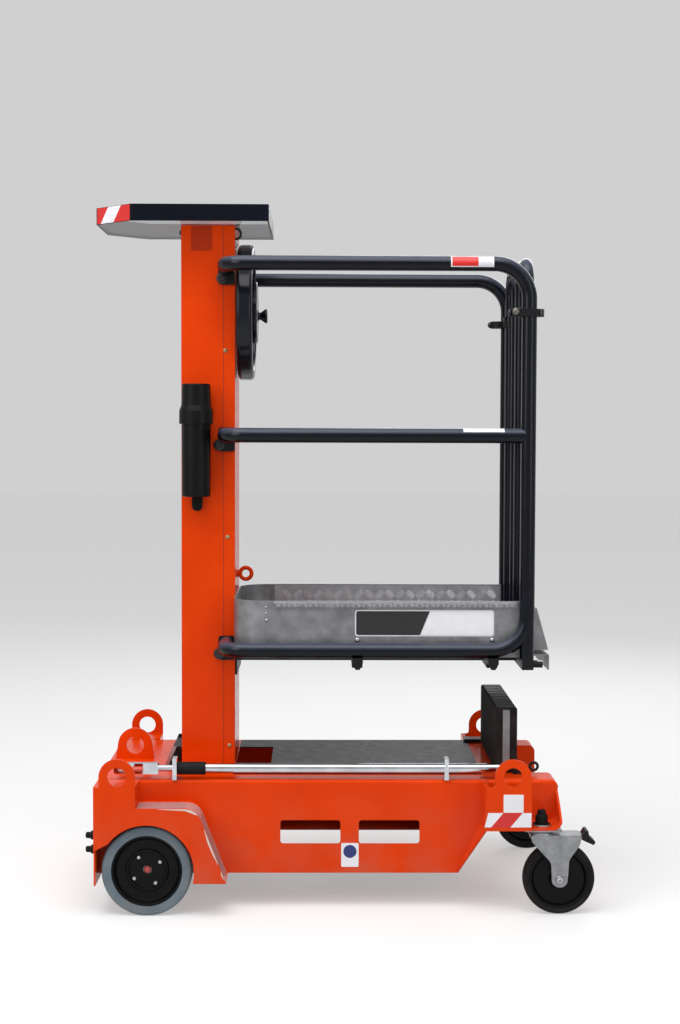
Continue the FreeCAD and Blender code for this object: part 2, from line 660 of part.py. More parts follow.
def mid_mast():
    return box_tube(MAST_X, MID_D, MID_HALF_W, STAGE_SHEET, MID_BOTTOM_Z, MID_TOP_Z)


def collar(outer_d, outer_half, inner_d, inner_half, z0):
    """Wear collar between two stages."""
    outer = block(MAST_X - outer_d / 2, MAST_X + outer_d / 2, -outer_half, outer_half, z0, z0 + COLLAR_H)
    inner = block(MAST_X - inner_d / 2, MAST_X + inner_d / 2, -inner_half, inner_half, z0, z0 + COLLAR_H)
    return outer.cut(inner)


def base_collar():
    return collar(MID_D - 2 * (STAGE_SHEET + RUN_GAP), MID_HALF_W - STAGE_SHEET - RUN_GAP,
                  BASE_D, BASE_HALF_W, BASE_TOP_Z - COLLAR_H)


def mid_collars():
    upper = collar(COLUMN_D - 2 * (COLUMN_SHEET + RUN_GAP), COLUMN_HALF_W - COLUMN_SHEET - RUN_GAP,
                   MID_D, MID_HALF_W, MID_TOP_Z - COLLAR_H)
    lower = collar(MID_D - 2 * STAGE_SHEET, MID_HALF_W - STAGE_SHEET,
                   BASE_D + 2 * RUN_GAP, BASE_HALF_W + RUN_GAP, MID_BOTTOM_Z)
    return Part.makeCompound([upper, lower])


def column_collar():
    return collar(COLUMN_D - 2 * COLUMN_SHEET, COLUMN_HALF_W - COLUMN_SHEET,
                  MID_D + 2 * RUN_GAP, MID_HALF_W + RUN_GAP, COLUMN_BOTTOM_Z)


def column_shell():
    """Rear channel of the column, closed at the top."""
    whole = box_tube(MAST_X, COLUMN_D, COLUMN_HALF_W, COLUMN_SHEET, COLUMN_BOTTOM_Z, COLUMN_TOP_Z)
    cap = block(COLUMN_REAR_X, COLUMN_FRONT_X - COLUMN_SEAM, -COLUMN_HALF_W, COLUMN_HALF_W,
                COLUMN_TOP_Z - COLUMN_CAP, COLUMN_TOP_Z)
    front = block(COLUMN_FRONT_X - COLUMN_SEAM, COLUMN_FRONT_X, -COLUMN_HALF_W, COLUMN_HALF_W,
                  COLUMN_BOTTOM_Z, COLUMN_TOP_Z)
    return whole.cut(front).fuse(cap).removeSplitter()


def column_front():
    """Front channel of the column."""
    whole = box_tube(MAST_X, COLUMN_D, COLUMN_HALF_W, COLUMN_SHEET, COLUMN_BOTTOM_Z, COLUMN_TOP_Z)
    keep = block(COLUMN_FRONT_X - COLUMN_SEAM, COLUMN_FRONT_X, -COLUMN_HALF_W, COLUMN_HALF_W,
                 COLUMN_BOTTOM_Z, COLUMN_TOP_Z)
    cap = block(COLUMN_FRONT_X - COLUMN_SEAM, COLUMN_FRONT_X, -COLUMN_HALF_W, COLUMN_HALF_W,
                COLUMN_TOP_Z - COLUMN_CAP, COLUMN_TOP_Z)
    return whole.common(keep).fuse(cap).removeSplitter()


def mast_foot():
    """Black foot bracket behind the column: sloped plate between two cheeks."""
    rear = COLUMN_REAR_X - FOOT_GAP
    top = TUB_TOP_Z + FOOT_H
    rows = [(rear - FOOT_REACH, TUB_TOP_Z, 0), (rear - FOOT_FLAT, top, 0), (rear, top, 0),
            (rear, TUB_TOP_Z, 0)]
    wedge = side_plate(rows, -FOOT_Y, FOOT_Y)
    sheet = FOOT_SHEET
    under = top - 2 * sheet
    inner_rows = [(rear - FOOT_REACH + 2 * sheet, TUB_TOP_Z, 0), (rear - FOOT_FLAT + sheet, under, 0),
                  (rear - sheet, under, 0), (rear - sheet, TUB_TOP_Z, 0)]
    hollow = side_plate(inner_rows, -FOOT_Y, FOOT_Y)
    sunk_rows = [(rear - FOOT_REACH, top - sheet, 0), (rear - FOOT_REACH, top, 0), (rear, top, 0),
                 (rear, top - sheet, 0)]
    sunk = side_plate(sunk_rows, -FOOT_Y, FOOT_Y)
    plate = wedge.cut(hollow).cut(sunk)
    cheeks = [side_plate(rows, FOOT_Y, FOOT_Y + sheet, s) for name, s in SIDES]
    return fuse_all([plate] + cheeks)


def rear_axle():
    """Through axle with a shoulder inside each wheel."""
    face = REAR_WHEEL_OUT_Y - REAR_DISH - REAR_WEB
    tip = face + AXLE_TIP
    shapes = [rod(at(REAR_WHEEL_X, -tip, WHEEL_AXIS_Z), at(0, 1, 0), AXLE_D, 2 * tip)]
    shoulder = max(face - REAR_HUB_L - RUN_GAP - TUB_HALF_W, TUB_SHEET)
    for name, s in SIDES:
        shapes.append(rod(at(REAR_WHEEL_X, s * TUB_HALF_W, WHEEL_AXIS_Z), at(0, s, 0), AXLE_COLLAR_D,
                          shoulder))
    return fuse_all(shapes)


def rear_buffers():
    """Stepped rubber buffers on the rear skirt."""
    taper = BUFFER_FOOT_L + BUFFER_TAPER_L
    nose = BUFFER_NOSE_D / 2
    profile = [(0, 0, 0), (0, BUFFER_D / 2, 1.0), (BUFFER_FOOT_L, BUFFER_D / 2, 2.0), (taper, nose, 1.0),
               (BUFFER_L, nose, 5.0), (BUFFER_L, 0, 0)]
    solids = []
    for z in BUFFER_Z:
        for name, s in SIDES:
            solids.append(turned(profile, at(TUB_REAR_X, s * BUFFER_Y, z), at(-1, 0, 0)))
    return Part.makeCompound(solids)


def rear_tyre(s):
    half = REAR_TYRE_W / 2
    profile = [(-half, REAR_RIM_D / 2, 0), (-half, REAR_WHEEL_D / 2, REAR_TYRE_ROUND),
               (half, REAR_WHEEL_D / 2, REAR_TYRE_ROUND), (half, REAR_RIM_D / 2, 0)]
    centre = REAR_WHEEL_OUT_Y - half
    return turned(profile, at(REAR_WHEEL_X, s * centre, WHEEL_AXIS_Z), at(0, s, 0))


def rear_hub(s):
    """Dished wheel centre with a raised ring, turned about the axle."""
    rim_r = REAR_RIM_D / 2
    half = REAR_TYRE_W / 2 - REAR_RIM_INSET
    face = REAR_TYRE_W / 2 - REAR_DISH
    back = face - REAR_WEB
    bore = AXLE_D / 2 + PIN_GAP
    ring_r = REAR_RING_D / 2
    ring_in = REAR_RING_IN_D / 2
    raised = face + REAR_RING_H
    inboard = back - REAR_HUB_L
    lip = rim_r - REAR_RIM_LIP
    slope = lip - REAR_RIM_SLOPE
    profile = [(inboard, bore, 0), (inboard, REAR_HUB_D / 2, 2.0), (back, REAR_HUB_D / 2, 4.0),
               (back, slope, 4.0), (-half, lip, 2.0), (-half, rim_r, 0), (half, rim_r, 0),
               (half, lip, 2.0), (face, slope, 4.0), (face, ring_r, 2.0), (raised, ring_r - 3.0, 2.0),
               (raised, ring_in + 2.0, 1.5), (face, ring_in, 1.5), (face, bore, 0)]
    centre = REAR_WHEEL_OUT_Y - REAR_TYRE_W / 2
    return turned(profile, at(REAR_WHEEL_X, s * centre, WHEEL_AXIS_Z), at(0, s, 0))


def castor_mount(s):
    """Fixed top plate and stud of a castor."""
    length, width, sheet = CASTOR_PLATE
    top = HOUSING_BOTTOM_Z
    half_x = length / 2
    half_y = width / 2
    mid_y = s * CASTOR_Y
    corner_r = CASTOR_CROWN_R
    rows = [(CASTOR_X - half_x, mid_y - half_y, corner_r), (CASTOR_X - half_x, mid_y + half_y, corner_r),
            (CASTOR_X + half_x, mid_y + half_y, corner_r), (CASTOR_X + half_x, mid_y - half_y, corner_r)]
    plate = flat_plate(rows, top - sheet, top)
    stud_low = top - sheet - CASTOR_RACE_H - CASTOR_CROWN_H
    stud = rod(at(CASTOR_X, mid_y, stud_low), at(0, 0, 1), CASTOR_STUD_NECK, top - stud_low)
    neck = rod(at(CASTOR_X, mid_y, top), at(0, 0, 1), CASTOR_STUD_D, HOUSING_SHEET)
    return fuse_all([plate, stud, neck])


def castor_cap(s):
    """Washer and domed cap over the stud's nut."""
    return turned(CASTOR_CAP, at(CASTOR_X, s * CASTOR_Y, HOUSING_BOTTOM_Z + HOUSING_SHEET), at(0, 0, 1))


def castor_fork(s):
    """Pressed fork with race, crown and two tapering legs."""
    race_top = HOUSING_BOTTOM_Z - CASTOR_PLATE[2] - RUN_GAP
    crown_top = race_top - CASTOR_RACE_H
    crown_low = crown_top - CASTOR_CROWN_H
    inner = CASTOR_WHEEL_W / 2 + CASTOR_LEG_GAP
    outer = inner + CASTOR_LEG
    race_r = CASTOR_RACE_D / 2
    race = turned([(0, 0, 0), (0, race_r + CASTOR_RACE_FLARE / 2, 2.0), (CASTOR_RACE_H, race_r, 3.0),
                   (CASTOR_RACE_H, 0, 0)], at(CASTOR_X, s * CASTOR_Y, crown_top), at(0, 0, 1))
    rear_x = CASTOR_X - CASTOR_CROWN_REAR
    front_x = CASTOR_X + CASTOR_CROWN_FRONT
    mid_y = s * CASTOR_Y
    crown_r = CASTOR_CROWN_R
    crown = flat_plate([(rear_x, mid_y - outer, crown_r), (rear_x, mid_y + outer, crown_r),
                        (front_x, mid_y + outer, crown_r), (front_x, mid_y - outer, crown_r)],
                       crown_low, crown_top)
    foot_r = CASTOR_FOOT_R
    rear_w, rear_h, front_w, front_h, waist_r = CASTOR_WAIST
    axle_x = CASTOR_AXLE_X
    axle_z = CASTOR_AXLE_Z
    rows = [(rear_x, crown_top, 6.0), (front_x, crown_top, 6.0),
            (front_x - CASTOR_CROWN_H, crown_low - foot_r, 2 * CASTOR_CROWN_H),
            (axle_x + front_w, axle_z + front_h, waist_r),
            (axle_x + foot_r, axle_z - foot_r, foot_r - 0.01),
            (axle_x - foot_r, axle_z - foot_r, foot_r - 0.01),
            (axle_x - rear_w, axle_z + rear_h, waist_r), (rear_x + CASTOR_LEG, crown_low - crown_r, crown_r)]
    legs = []
    for side in (-1, 1):
        low = min(side * inner, side * outer)
        legs.append(side_plate(rows, mid_y + low, mid_y + low + CASTOR_LEG))
    nut_d, nut_h = CASTOR_NUT
    bolt = rod(at(axle_x, mid_y - outer - nut_h, axle_z), at(0, 1, 0), CASTOR_AXLE_D, 2 * (outer + nut_h))
    nuts = [rod(at(axle_x, mid_y + side * outer, axle_z), at(0, side, 0), nut_d, nut_h)
            for side in (-1, 1)]
    fork = fuse_all([race, crown] + legs + [bolt] + nuts)
    stud_bore = rod(at(CASTOR_X, mid_y, crown_low), at(0, 0, 1), CASTOR_STUD_NECK + 2 * PIN_GAP,
                    race_top - crown_low)
    return fork.cut(stud_bore)


def castor_brake(s):
    """Black brake pedal on the trailing end of the fork."""
    crown_top = HOUSING_BOTTOM_Z - CASTOR_PLATE[2] - RUN_GAP - CASTOR_RACE_H
    root = CASTOR_X + CASTOR_CROWN_FRONT
    rows = [(root + reach, crown_top + height, radius) for reach, height, radius in BRAKE_ROWS]
    low = s * CASTOR_Y - BRAKE_W / 2
    return side_plate(rows, low, low + BRAKE_W)


def castor_tyre(s):
    half = CASTOR_WHEEL_W / 2
    profile = [(-half + 3.0, CASTOR_RIM_D / 2, 0), (-half, CASTOR_WHEEL_D / 2, CASTOR_TYRE_ROUND),
               (half, CASTOR_WHEEL_D / 2, CASTOR_TYRE_ROUND), (half - 3.0, CASTOR_RIM_D / 2, 0)]
    return turned(profile, at(CASTOR_AXLE_X, s * CASTOR_Y, CASTOR_AXLE_Z), at(0, s, 0))


def castor_core(s):
    """Wheel centre with a thin web and a hub that fills the fork."""
    half = CASTOR_WHEEL_W / 2
    rim_r = CASTOR_RIM_D / 2
    web = CASTOR_WEB / 2
    hub_r = CASTOR_HUB_D / 2
    hub_half = half + CASTOR_LEG_GAP - RUN_GAP
    bore = CASTOR_AXLE_D / 2 + PIN_GAP
    rim = rim_r - CASTOR_WEB
    end = half - 3.0
    profile = [(-hub_half, bore, 0), (-hub_half, hub_r - 6.0, 1.0), (-end, hub_r, 2.0),
               (-web, hub_r + 6.0, 4.0), (-web, rim, 4.0), (-end, rim + web, 2.0), (-end, rim_r, 0),
               (end, rim_r, 0), (end, rim + web, 2.0), (web, rim, 4.0), (web, hub_r + 6.0, 4.0),
               (end, hub_r, 2.0), (hub_half, hub_r - 6.0, 1.0), (hub_half, bore, 0)]
    return turned(profile, at(CASTOR_AXLE_X, s * CASTOR_Y, CASTOR_AXLE_Z), at(0, s, 0))


def tray_rows(grow):
    x0, x1 = TRAY_X
    cut = TRAY_CHAMFER
    half = TRAY_HALF_W
    rear_r = TRAY_CORNER_R
    front_r = TRAY_FRONT_R
    rows = [(x0, -half + cut, rear_r), (x0, half - cut, rear_r), (x0 + cut, half, rear_r),
            (x1, half, front_r), (x1, -half, front_r), (x0 + cut, -half, rear_r)]
    return inset(rows, grow)


def tray_floor():
    return flat_plate(tray_rows(TRAY_RIM), COLUMN_TOP_Z, COLUMN_TOP_Z + TRAY_FLOOR)


def tray_rim():
    outer = flat_plate(tray_rows(0), COLUMN_TOP_Z, COLUMN_TOP_Z + TRAY_RIM_H)
    inner = flat_plate(tray_rows(TRAY_RIM), COLUMN_TOP_Z, COLUMN_TOP_Z + TRAY_RIM_H)
    return outer.cut(inner)


def wheel_bearing():
    """Flange and stub shaft that carry the handwheel."""
    flange_r = WHEEL_FLANGE_D / 2
    flange = turned([(0, 0, 0), (0, flange_r, 1.0), (WHEEL_FLANGE_H, flange_r - 6.0, 3.0),
                     (WHEEL_FLANGE_H, 0, 0)], at(COLUMN_FRONT_X, 0, WHEEL_Z), at(1, 0, 0))
    shaft = rod(at(COLUMN_FRONT_X, 0, WHEEL_Z), at(1, 0, 0), WHEEL_SHAFT_D,
                WHEEL_HUB_X[1] - COLUMN_FRONT_X - WHEEL_FACE)
    return flange.fuse(shaft).removeSplitter()


def wheel_window(middle, inner_r, outer_r, start_x, depth):
    """Cutter for one opening between two spokes."""
    half_turn = math.pi / WHEEL_SPOKES
    a_in = half_turn - WHEEL_SPOKE_W / 2 / inner_r
    a_out = half_turn - WHEEL_SPOKE_W / 2 / outer_r
    polar = [(inner_r, middle - a_in), (outer_r, middle - a_out), (outer_r, middle),
             (outer_r, middle + a_out), (inner_r, middle + a_in), (inner_r, middle)]
    points = [at(start_x, r * math.cos(a), WHEEL_Z + r * math.sin(a)) for r, a in polar]
    wire = Part.Wire([Part.LineSegment(points[0], points[1]).toShape(),
                      Part.Arc(points[1], points[2], points[3]).toShape(),
                      Part.LineSegment(points[3], points[4]).toShape(),
                      Part.Arc(points[4], points[5], points[0]).toShape()])
    window = Part.Face(wire).extrude(at(depth, 0, 0))
    along = [edge for edge in window.Edges if abs(edge.Vertexes[0].X - edge.Vertexes[-1].X) > 1.0]
    return window.makeFillet(WHEEL_WINDOW_ROUND, along)


def handwheel():
    """Dished wheel: round rim, cone web cut to spokes, flat hub disc and a boss for the knob."""
    x0, x1 = WHEEL_X
    rim_r = WHEEL_D / 2
    rim_in = rim_r - WHEEL_RIM
    hub_r = WHEEL_HUB_D / 2
    hx0, hx1 = WHEEL_HUB_X
    bore = WHEEL_SHAFT_D / 2 + PIN_GAP
    back = COLUMN_FRONT_X + WHEEL_FLANGE_H + RUN_GAP
    bore_end = hx1 - WHEEL_FACE + RUN_GAP
    web_x = x0 + WHEEL_DISH
    front_x = web_x + WHEEL_WEB
    nave = bore + WHEEL_NAVE
    profile = [(back, bore, 0), (back, nave, 2.0), (hx0, nave + 1.0, 4.0), (hx0, hub_r - 10.0, 5.0),
               (web_x, rim_in - 2.0, 4.0), (x0, rim_in + 2.0, 4.0), (x0, rim_r, WHEEL_RIM_ROUND),
               (x1, rim_r, WHEEL_RIM_ROUND), (x1, rim_in, 6.0), (front_x, rim_in - 4.0, 4.0),
               (hx0 + WHEEL_WEB, hub_r, 4.0), (hx1, hub_r, 4.0), (hx1, 0, 0), (bore_end, 0, 0),
               (bore_end, bore, 0)]
    solid = turned(profile, at(0, 0, WHEEL_Z), at(1, 0, 0))
    for index in range(WHEEL_SPOKES):
        middle = math.pi * (2 * index + 1) / WHEEL_SPOKES
        solid = solid.cut(wheel_window(middle, hub_r + WHEEL_WINDOW_EDGE, rim_in - WHEEL_WINDOW_EDGE,
                                       x0 - WHEEL_DISH, 3 * (x1 - x0)))
    boss = rod(at(front_x, KNOB_RADIUS, WHEEL_Z), at(1, 0, 0), BOSS_D, x1 - KNOB_SINK - front_x)
    return solid.fuse(boss).removeSplitter()


def wheel_knob():
    """Waisted spinner knob on the wheel's face."""
    root, waist, cap = [width / 2 for width in KNOB_D]
    step_1, step_2, step_3, step_4 = KNOB_STEPS
    profile = [(0, 0, 0), (0, root, 1.0), (step_1, root, 3.0), (step_2, waist, 5.0), (step_3, cap, 3.0),
               (step_4, cap - 1.0, 3.0), (step_4, 0, 0)]
    return turned(profile, at(WHEEL_X[1] - KNOB_SINK, KNOB_RADIUS, WHEEL_Z), at(1, 0, 0))


def document_tube():
    """Capped tube on a strap, with a collar and a round foot lug."""
    y = -COLUMN_HALF_W - TUBE_WALL_GAP - TUBE_D / 2
    low, high = TUBE_Z
    c0, c1 = TUBE_COLLAR_Z
    r = TUBE_D / 2
    cr = TUBE_COLLAR_D / 2
    profile = [(0, 0, 0), (0, r - 1.0, 5.0), (c0 - low, r, 0), (c0 - low, cr, 2.0), (c1 - low, cr, 3.0),
               (c1 + TUBE_COLLAR_TAPER - low, r + 1.0, 2.0), (high - low, r - 1.0, 4.0), (high - low, 0, 0)]
    body = turned(profile, at(TUBE_X, y, low), at(0, 0, 1))
    keep = block(TUBE_X - cr - 1, TUBE_X + cr + 1, y - cr - 1, -COLUMN_HALF_W, low, high)
    body = body.common(keep)
    strap_low, strap_high = TUBE_STRAP_ENDS
    half_strap = TUBE_STRAP_W / 2
    strap = block(TUBE_X - half_strap, TUBE_X + half_strap, y, -COLUMN_HALF_W, low + strap_low,
                  high - strap_high)
    foot_z = low - TUBE_FOOT_DROP
    foot_y = -COLUMN_HALF_W - TUBE_FOOT_T
    foot = rod(at(TUBE_X, foot_y, foot_z), at(0, 1, 0), 2 * TUBE_FOOT_R, TUBE_FOOT_T)
    web = block(TUBE_X - TUBE_FOOT_R, TUBE_X + TUBE_FOOT_R, foot_y, -COLUMN_HALF_W, foot_z,
                low + strap_low)
    return fuse_all([body, strap, foot, web])


def eye_bolt():
    """Ring on a shank, screwed to the column's front."""
    eye = Part.makeTorus(EYE_R, EYE_WIRE_R, at(EYE_X, 0, EYE_Z), at(0, 1, 0))
    collar_d, collar_h = EYE_COLLAR
    base = rod(at(COLUMN_FRONT_X, 0, EYE_Z), at(1, 0, 0), collar_d, collar_h)
    shank = rod(at(COLUMN_FRONT_X, 0, EYE_Z), at(1, 0, 0), EYE_SHANK_D, EYE_X - EYE_R - COLUMN_FRONT_X)
    return fuse_all([base, shank, eye])


def rail_path(s):
    root = COLUMN_HALF_W + ROOT_PLATE[1]
    points = [at(RAIL_ROOT_X, s * root, RAIL_TOP_Z), at(RAIL_ROOT_X, s * RAIL_Y, RAIL_TOP_Z),
              at(POST_X, s * RAIL_Y, RAIL_TOP_Z), at(POST_X, s * RAIL_Y, RAIL_LOW_Z),
              at(RAIL_ROOT_X, s * RAIL_Y, RAIL_LOW_Z), at(RAIL_ROOT_X, s * root, RAIL_LOW_Z)]
    return points, [0, RAIL_ROOT_BEND, POST_BEND, POST_BEND, RAIL_ROOT_BEND, 0]


def mid_rail_path(s):
    root = COLUMN_HALF_W + ROOT_PLATE[1]
    points = [at(RAIL_ROOT_X, s * root, RAIL_MID_Z), at(RAIL_ROOT_X, s * RAIL_Y, RAIL_MID_Z),
              at(POST_X, s * RAIL_Y, RAIL_MID_Z)]
    return points, [0, RAIL_ROOT_BEND, 0]


def guard_rail(s):
    """One bent hoop from mast to post and back, the post's foot and the coped mid rail."""
    inner_d = RAIL_D - 2 * RAIL_SHEET
    hoop_points, hoop_radii = rail_path(s)
    mid_points, mid_radii = mid_rail_path(s)
    foot = at(POST_X, s * RAIL_Y, FLOOR_Z - FLOOR_SHEET)
    foot_l = RAIL_LOW_Z + POST_BEND + POST_FOOT_D / 2 - foot.z
    outer = swept(hoop_points, hoop_radii, RAIL_D).fuse(swept(mid_points, mid_radii, RAIL_D))
    outer = outer.fuse(rod(foot, at(0, 0, 1), POST_FOOT_D, foot_l))
    inner = swept(hoop_points, hoop_radii, inner_d).fuse(swept(mid_points, mid_radii, inner_d))
    inner = inner.fuse(rod(foot, at(0, 0, 1), POST_FOOT_D - 2 * RAIL_SHEET, foot_l))
    return outer.cut(inner)


def post_band(s):
    """Clamp round a post with a ring for the gate leaf's outer leg."""
    low, high = BAND_Z
    height = high - low
    half = BAND_W / 2
    y = s * RAIL_Y
    x0, x1 = BAND_X
    rows = [(x0, y - half, half - 0.01), (x0, y + half, half - 0.01),
            (x1, y + half, half - 0.01), (x1, y - half, half - 0.01)]
    band = flat_plate(rows, low, high)
    leg_y = s * GATE_Y[0]
    leg_d = GATE_D + 2 * RUN_GAP
    eye = rod(at(GATE_X, leg_y, low), at(0, 0, 1), leg_d + 2 * GATE_RING, height)
    arm = block(GATE_X - BAND_ARM_W / 2, GATE_X + BAND_ARM_W / 2, leg_y, y, low, high)
    band = fuse_all([band, eye, arm])
    band = band.cut(rod(at(POST_X, y, low), at(0, 0, 1), RAIL_D, height))
    return band.cut(rod(at(GATE_X, leg_y, low), at(0, 0, 1), leg_d, height))


def rail_fittings():
    """Root plates on the column and the bands that hold the gate's upper bearings."""
    solids = []
    length, sheet, height = ROOT_PLATE
    x0 = RAIL_ROOT_X - length / 2
    for name, s in SIDES:
        for z in (RAIL_TOP_Z, RAIL_MID_Z, RAIL_LOW_Z):
            low = z - height * ROOT_PLATE_DROP
            rows = [(x0, low, 8.0), (x0, low + height, 8.0), (x0 + length, low + height, 8.0),
                    (x0 + length, low, 8.0)]
            solids.append(side_plate(rows, COLUMN_HALF_W, COLUMN_HALF_W + sheet, s))
        solids.append(post_band(s))
    return Part.makeCompound(solids)


def box_beam(x0, x1, y0, y1, z0, z1, along_x):
    """Square tube lying along x or y, open at both ends."""
    sheet = BEAM_SHEET
    outer = block(x0, x1, y0, y1, z0, z1)
    if along_x:
        inner = block(x0, x1, y0 + sheet, y1 - sheet, z0 + sheet, z1 - sheet)
    else:
        inner = block(x0 + sheet, x1 - sheet, y0, y1, z0 + sheet, z1 - sheet)
    return outer.cut(inner)


def rail_clamp(x, s):
    """Tapered block on a cross beam's end that carries the low rail."""
    top = RAIL_LOW_Z - RAIL_D / 2 + CLAMP_BITE
    half = CROSS_BEAM_W / 2
    neck, taper = CLAMP_TAPER
    low = FLOOR_Z - FLOOR_SHEET - BEAM_H
    rows = [(x - half, top, 0), (x + half, top, 0), (x + half, low + taper, 0), (x + neck / 2, low, 0),
            (x - neck / 2, low, 0), (x - half, low + taper, 0)]
    block_shape = side_plate(rows, TOE_Y, RAIL_Y + RAIL_D / 2, s)
    rail = rod(at(x - half, s * RAIL_Y, RAIL_LOW_Z), at(1, 0, 0), RAIL_D, CROSS_BEAM_W)
    return block_shape.cut(rail)


def platform_frame():
    """Beams under the floor, rail clamps, the gate's lower pins and the stop at the entry."""
    top = FLOOR_Z - FLOOR_SHEET
    low = top - BEAM_H
    half = BEAM_W / 2
    x0, x1 = ENTRY_BEAM_X
    beam_end = RAIL_Y + RAIL_D / 2
    shapes = [box_beam(COLUMN_FRONT_X, x0, s * BEAM_Y - half, s * BEAM_Y + half, low, top, True)
              for name, s in SIDES]
    for x in CROSS_BEAM_X:
        half_cross = CROSS_BEAM_W / 2
        shapes.append(box_beam(x - half_cross, x + half_cross, -TOE_Y, TOE_Y, low, top, False))
    shapes.append(box_beam(x0, x1, -beam_end, beam_end, low, top, False))
    shapes.append(block(COLUMN_FRONT_X, COLUMN_FRONT_X + OUTER_SHEET, -BEAM_Y - BEAM_W, BEAM_Y + BEAM_W,
                        low - BEAM_W, top))
    pin_d = GATE_D - 2 * GATE_SHEET - 2 * RUN_GAP
    for name, s in SIDES:
        for x in CROSS_BEAM_X:
            shapes.append(rail_clamp(x, s))
        end = s * beam_end
        shapes.append(block(x0, x1, end - s * BEAM_SHEET, end, low, top))
        shapes.append(rod(at(GATE_X, s * GATE_Y[0], top), at(0, 0, 1), pin_d, GATE_PIN_L))
    stop = rod(at(x1, -STOP_Y, low + STOP_D / 2), at(1, 0, 0), STOP_D, STOP_L)
    return fuse_all(shapes + [stop])


def platform_floor():
    """Floor sheet with rounded mast-side corners and a lip folded down at the entry."""
    low = FLOOR_Z - FLOOR_SHEET
    x1 = ENTRY_BEAM_X[1]
    half = ENTRY_HALF_W
    rows = [(COLUMN_FRONT_X, -TOE_Y, TOE_CORNER_R), (COLUMN_FRONT_X, TOE_Y, TOE_CORNER_R),
            (x1, TOE_Y, 0), (x1, -TOE_Y, 0)]
    sheet = flat_plate(rows, low, FLOOR_Z)
    end = FLOOR_END_X
    fold_rows = [(x1, low, 0), (x1, FLOOR_Z, 0), (end, FLOOR_Z, FLOOR_LIP_R), (end, FLOOR_Z - FLOOR_LIP, 0),
                 (end - FLOOR_SHEET, FLOOR_Z - FLOOR_LIP, 0), (end - FLOOR_SHEET, low, 0)]
    floor = fuse_all([sheet, side_plate(fold_rows, -half, half)])
    pin_d = GATE_D - 2 * GATE_SHEET - 2 * RUN_GAP
    for name, s in SIDES:
        floor = floor.cut(rod(at(GATE_X, s * GATE_Y[0], low), at(0, 0, 1), pin_d, FLOOR_SHEET))
    return floor


def toe_boards():
    """U-shaped kick board with rounded mast-side corners and a hem folded outwards."""
    sheet = TOE_SHEET
    rows = [(COLUMN_FRONT_X, -TOE_Y, TOE_CORNER_R), (COLUMN_FRONT_X, TOE_Y, TOE_CORNER_R),
            (TOE_END_X, TOE_Y, 0), (TOE_END_X, -TOE_Y, 0)]
    inner_rows = [(COLUMN_FRONT_X + sheet, -TOE_Y + sheet, TOE_CORNER_R - sheet),
                  (COLUMN_FRONT_X + sheet, TOE_Y - sheet, TOE_CORNER_R - sheet),
                  (TOE_END_X + sheet, TOE_Y - sheet, 0), (TOE_END_X + sheet, -TOE_Y + sheet, 0)]
    wall = flat_plate(rows, FLOOR_Z, TOE_TOP_Z).cut(flat_plate(inner_rows, FLOOR_Z, TOE_TOP_Z))
    hems = []
    for name, s in SIDES:
        section = [(s * (TOE_Y - sheet), TOE_TOP_Z - HEM_H, 0), (s * (TOE_Y - sheet), TOE_TOP_Z, 0),
                   (s * (TOE_Y + HEM_T), TOE_TOP_Z, HEM_T / 2), (s * (TOE_Y + HEM_T), TOE_TOP_Z - HEM_H, 0)]
        hems.append(front_plate(section, HEM_X[0], HEM_X[1]))
    return fuse_all([wall] + hems)


def gate_frame(s):
    """One gate leaf: bent tube with a mid bar and the collar that sits on its ring."""
    outer_y, inner_y = [-y for y in GATE_Y]
    inner_d = GATE_D - 2 * GATE_SHEET
    points = [at(GATE_X, outer_y, GATE_FOOT_Z), at(GATE_X, outer_y, GATE_TOP_Z),
              at(GATE_X, inner_y, GATE_TOP_Z), at(GATE_X, inner_y, GATE_FOOT_Z)]
    radii = [0, GATE_BEND, GATE_BEND, 0]
    bar = at(GATE_X, outer_y, RAIL_MID_Z)
    bar_l = inner_y - outer_y
    outer = swept(points, radii, GATE_D).fuse(rod(bar, at(0, 1, 0), GATE_D, bar_l))
    inner = swept(points, radii, inner_d).fuse(rod(bar, at(0, 1, 0), inner_d, bar_l))
    stop = rod(at(GATE_X, outer_y, BAND_Z[1] + RUN_GAP), at(0, 0, 1), GATE_D + 2 * GATE_RING, GATE_STOP_H)
    leaf = outer.fuse(stop).cut(inner)
    if s > 0:
        leaf.rotate(at(GATE_X, 0, 0), at(0, 0, 1), 180)
    return leaf


def kick_plate(s):
    """Sloped tread plate on a gate leaf with folded triangular cheeks."""
    top_x, top_z = KICK_TOP
    foot_x, foot_z = KICK_FOOT
    back = GATE_X + GATE_D / 2
    inner_y, outer_y = KICK_Y
    sheet = KICK_SHEET
    rows = [(back, foot_z, 0), (back, top_z, 0), (top_x, top_z, 0), (foot_x, foot_z, 0)]
    wedge = side_plate(rows, inner_y, outer_y, s)
    hollow_rows = [(back - sheet, foot_z - sheet, 0), (back - sheet, top_z - sheet, 0),
                   (top_x - sheet, top_z - sheet, 0), (foot_x - sheet - 0.3, foot_z - sheet, 0)]
    hollow = side_plate(hollow_rows, inner_y + sheet, outer_y - sheet, s)
    return wedge.cut(hollow)


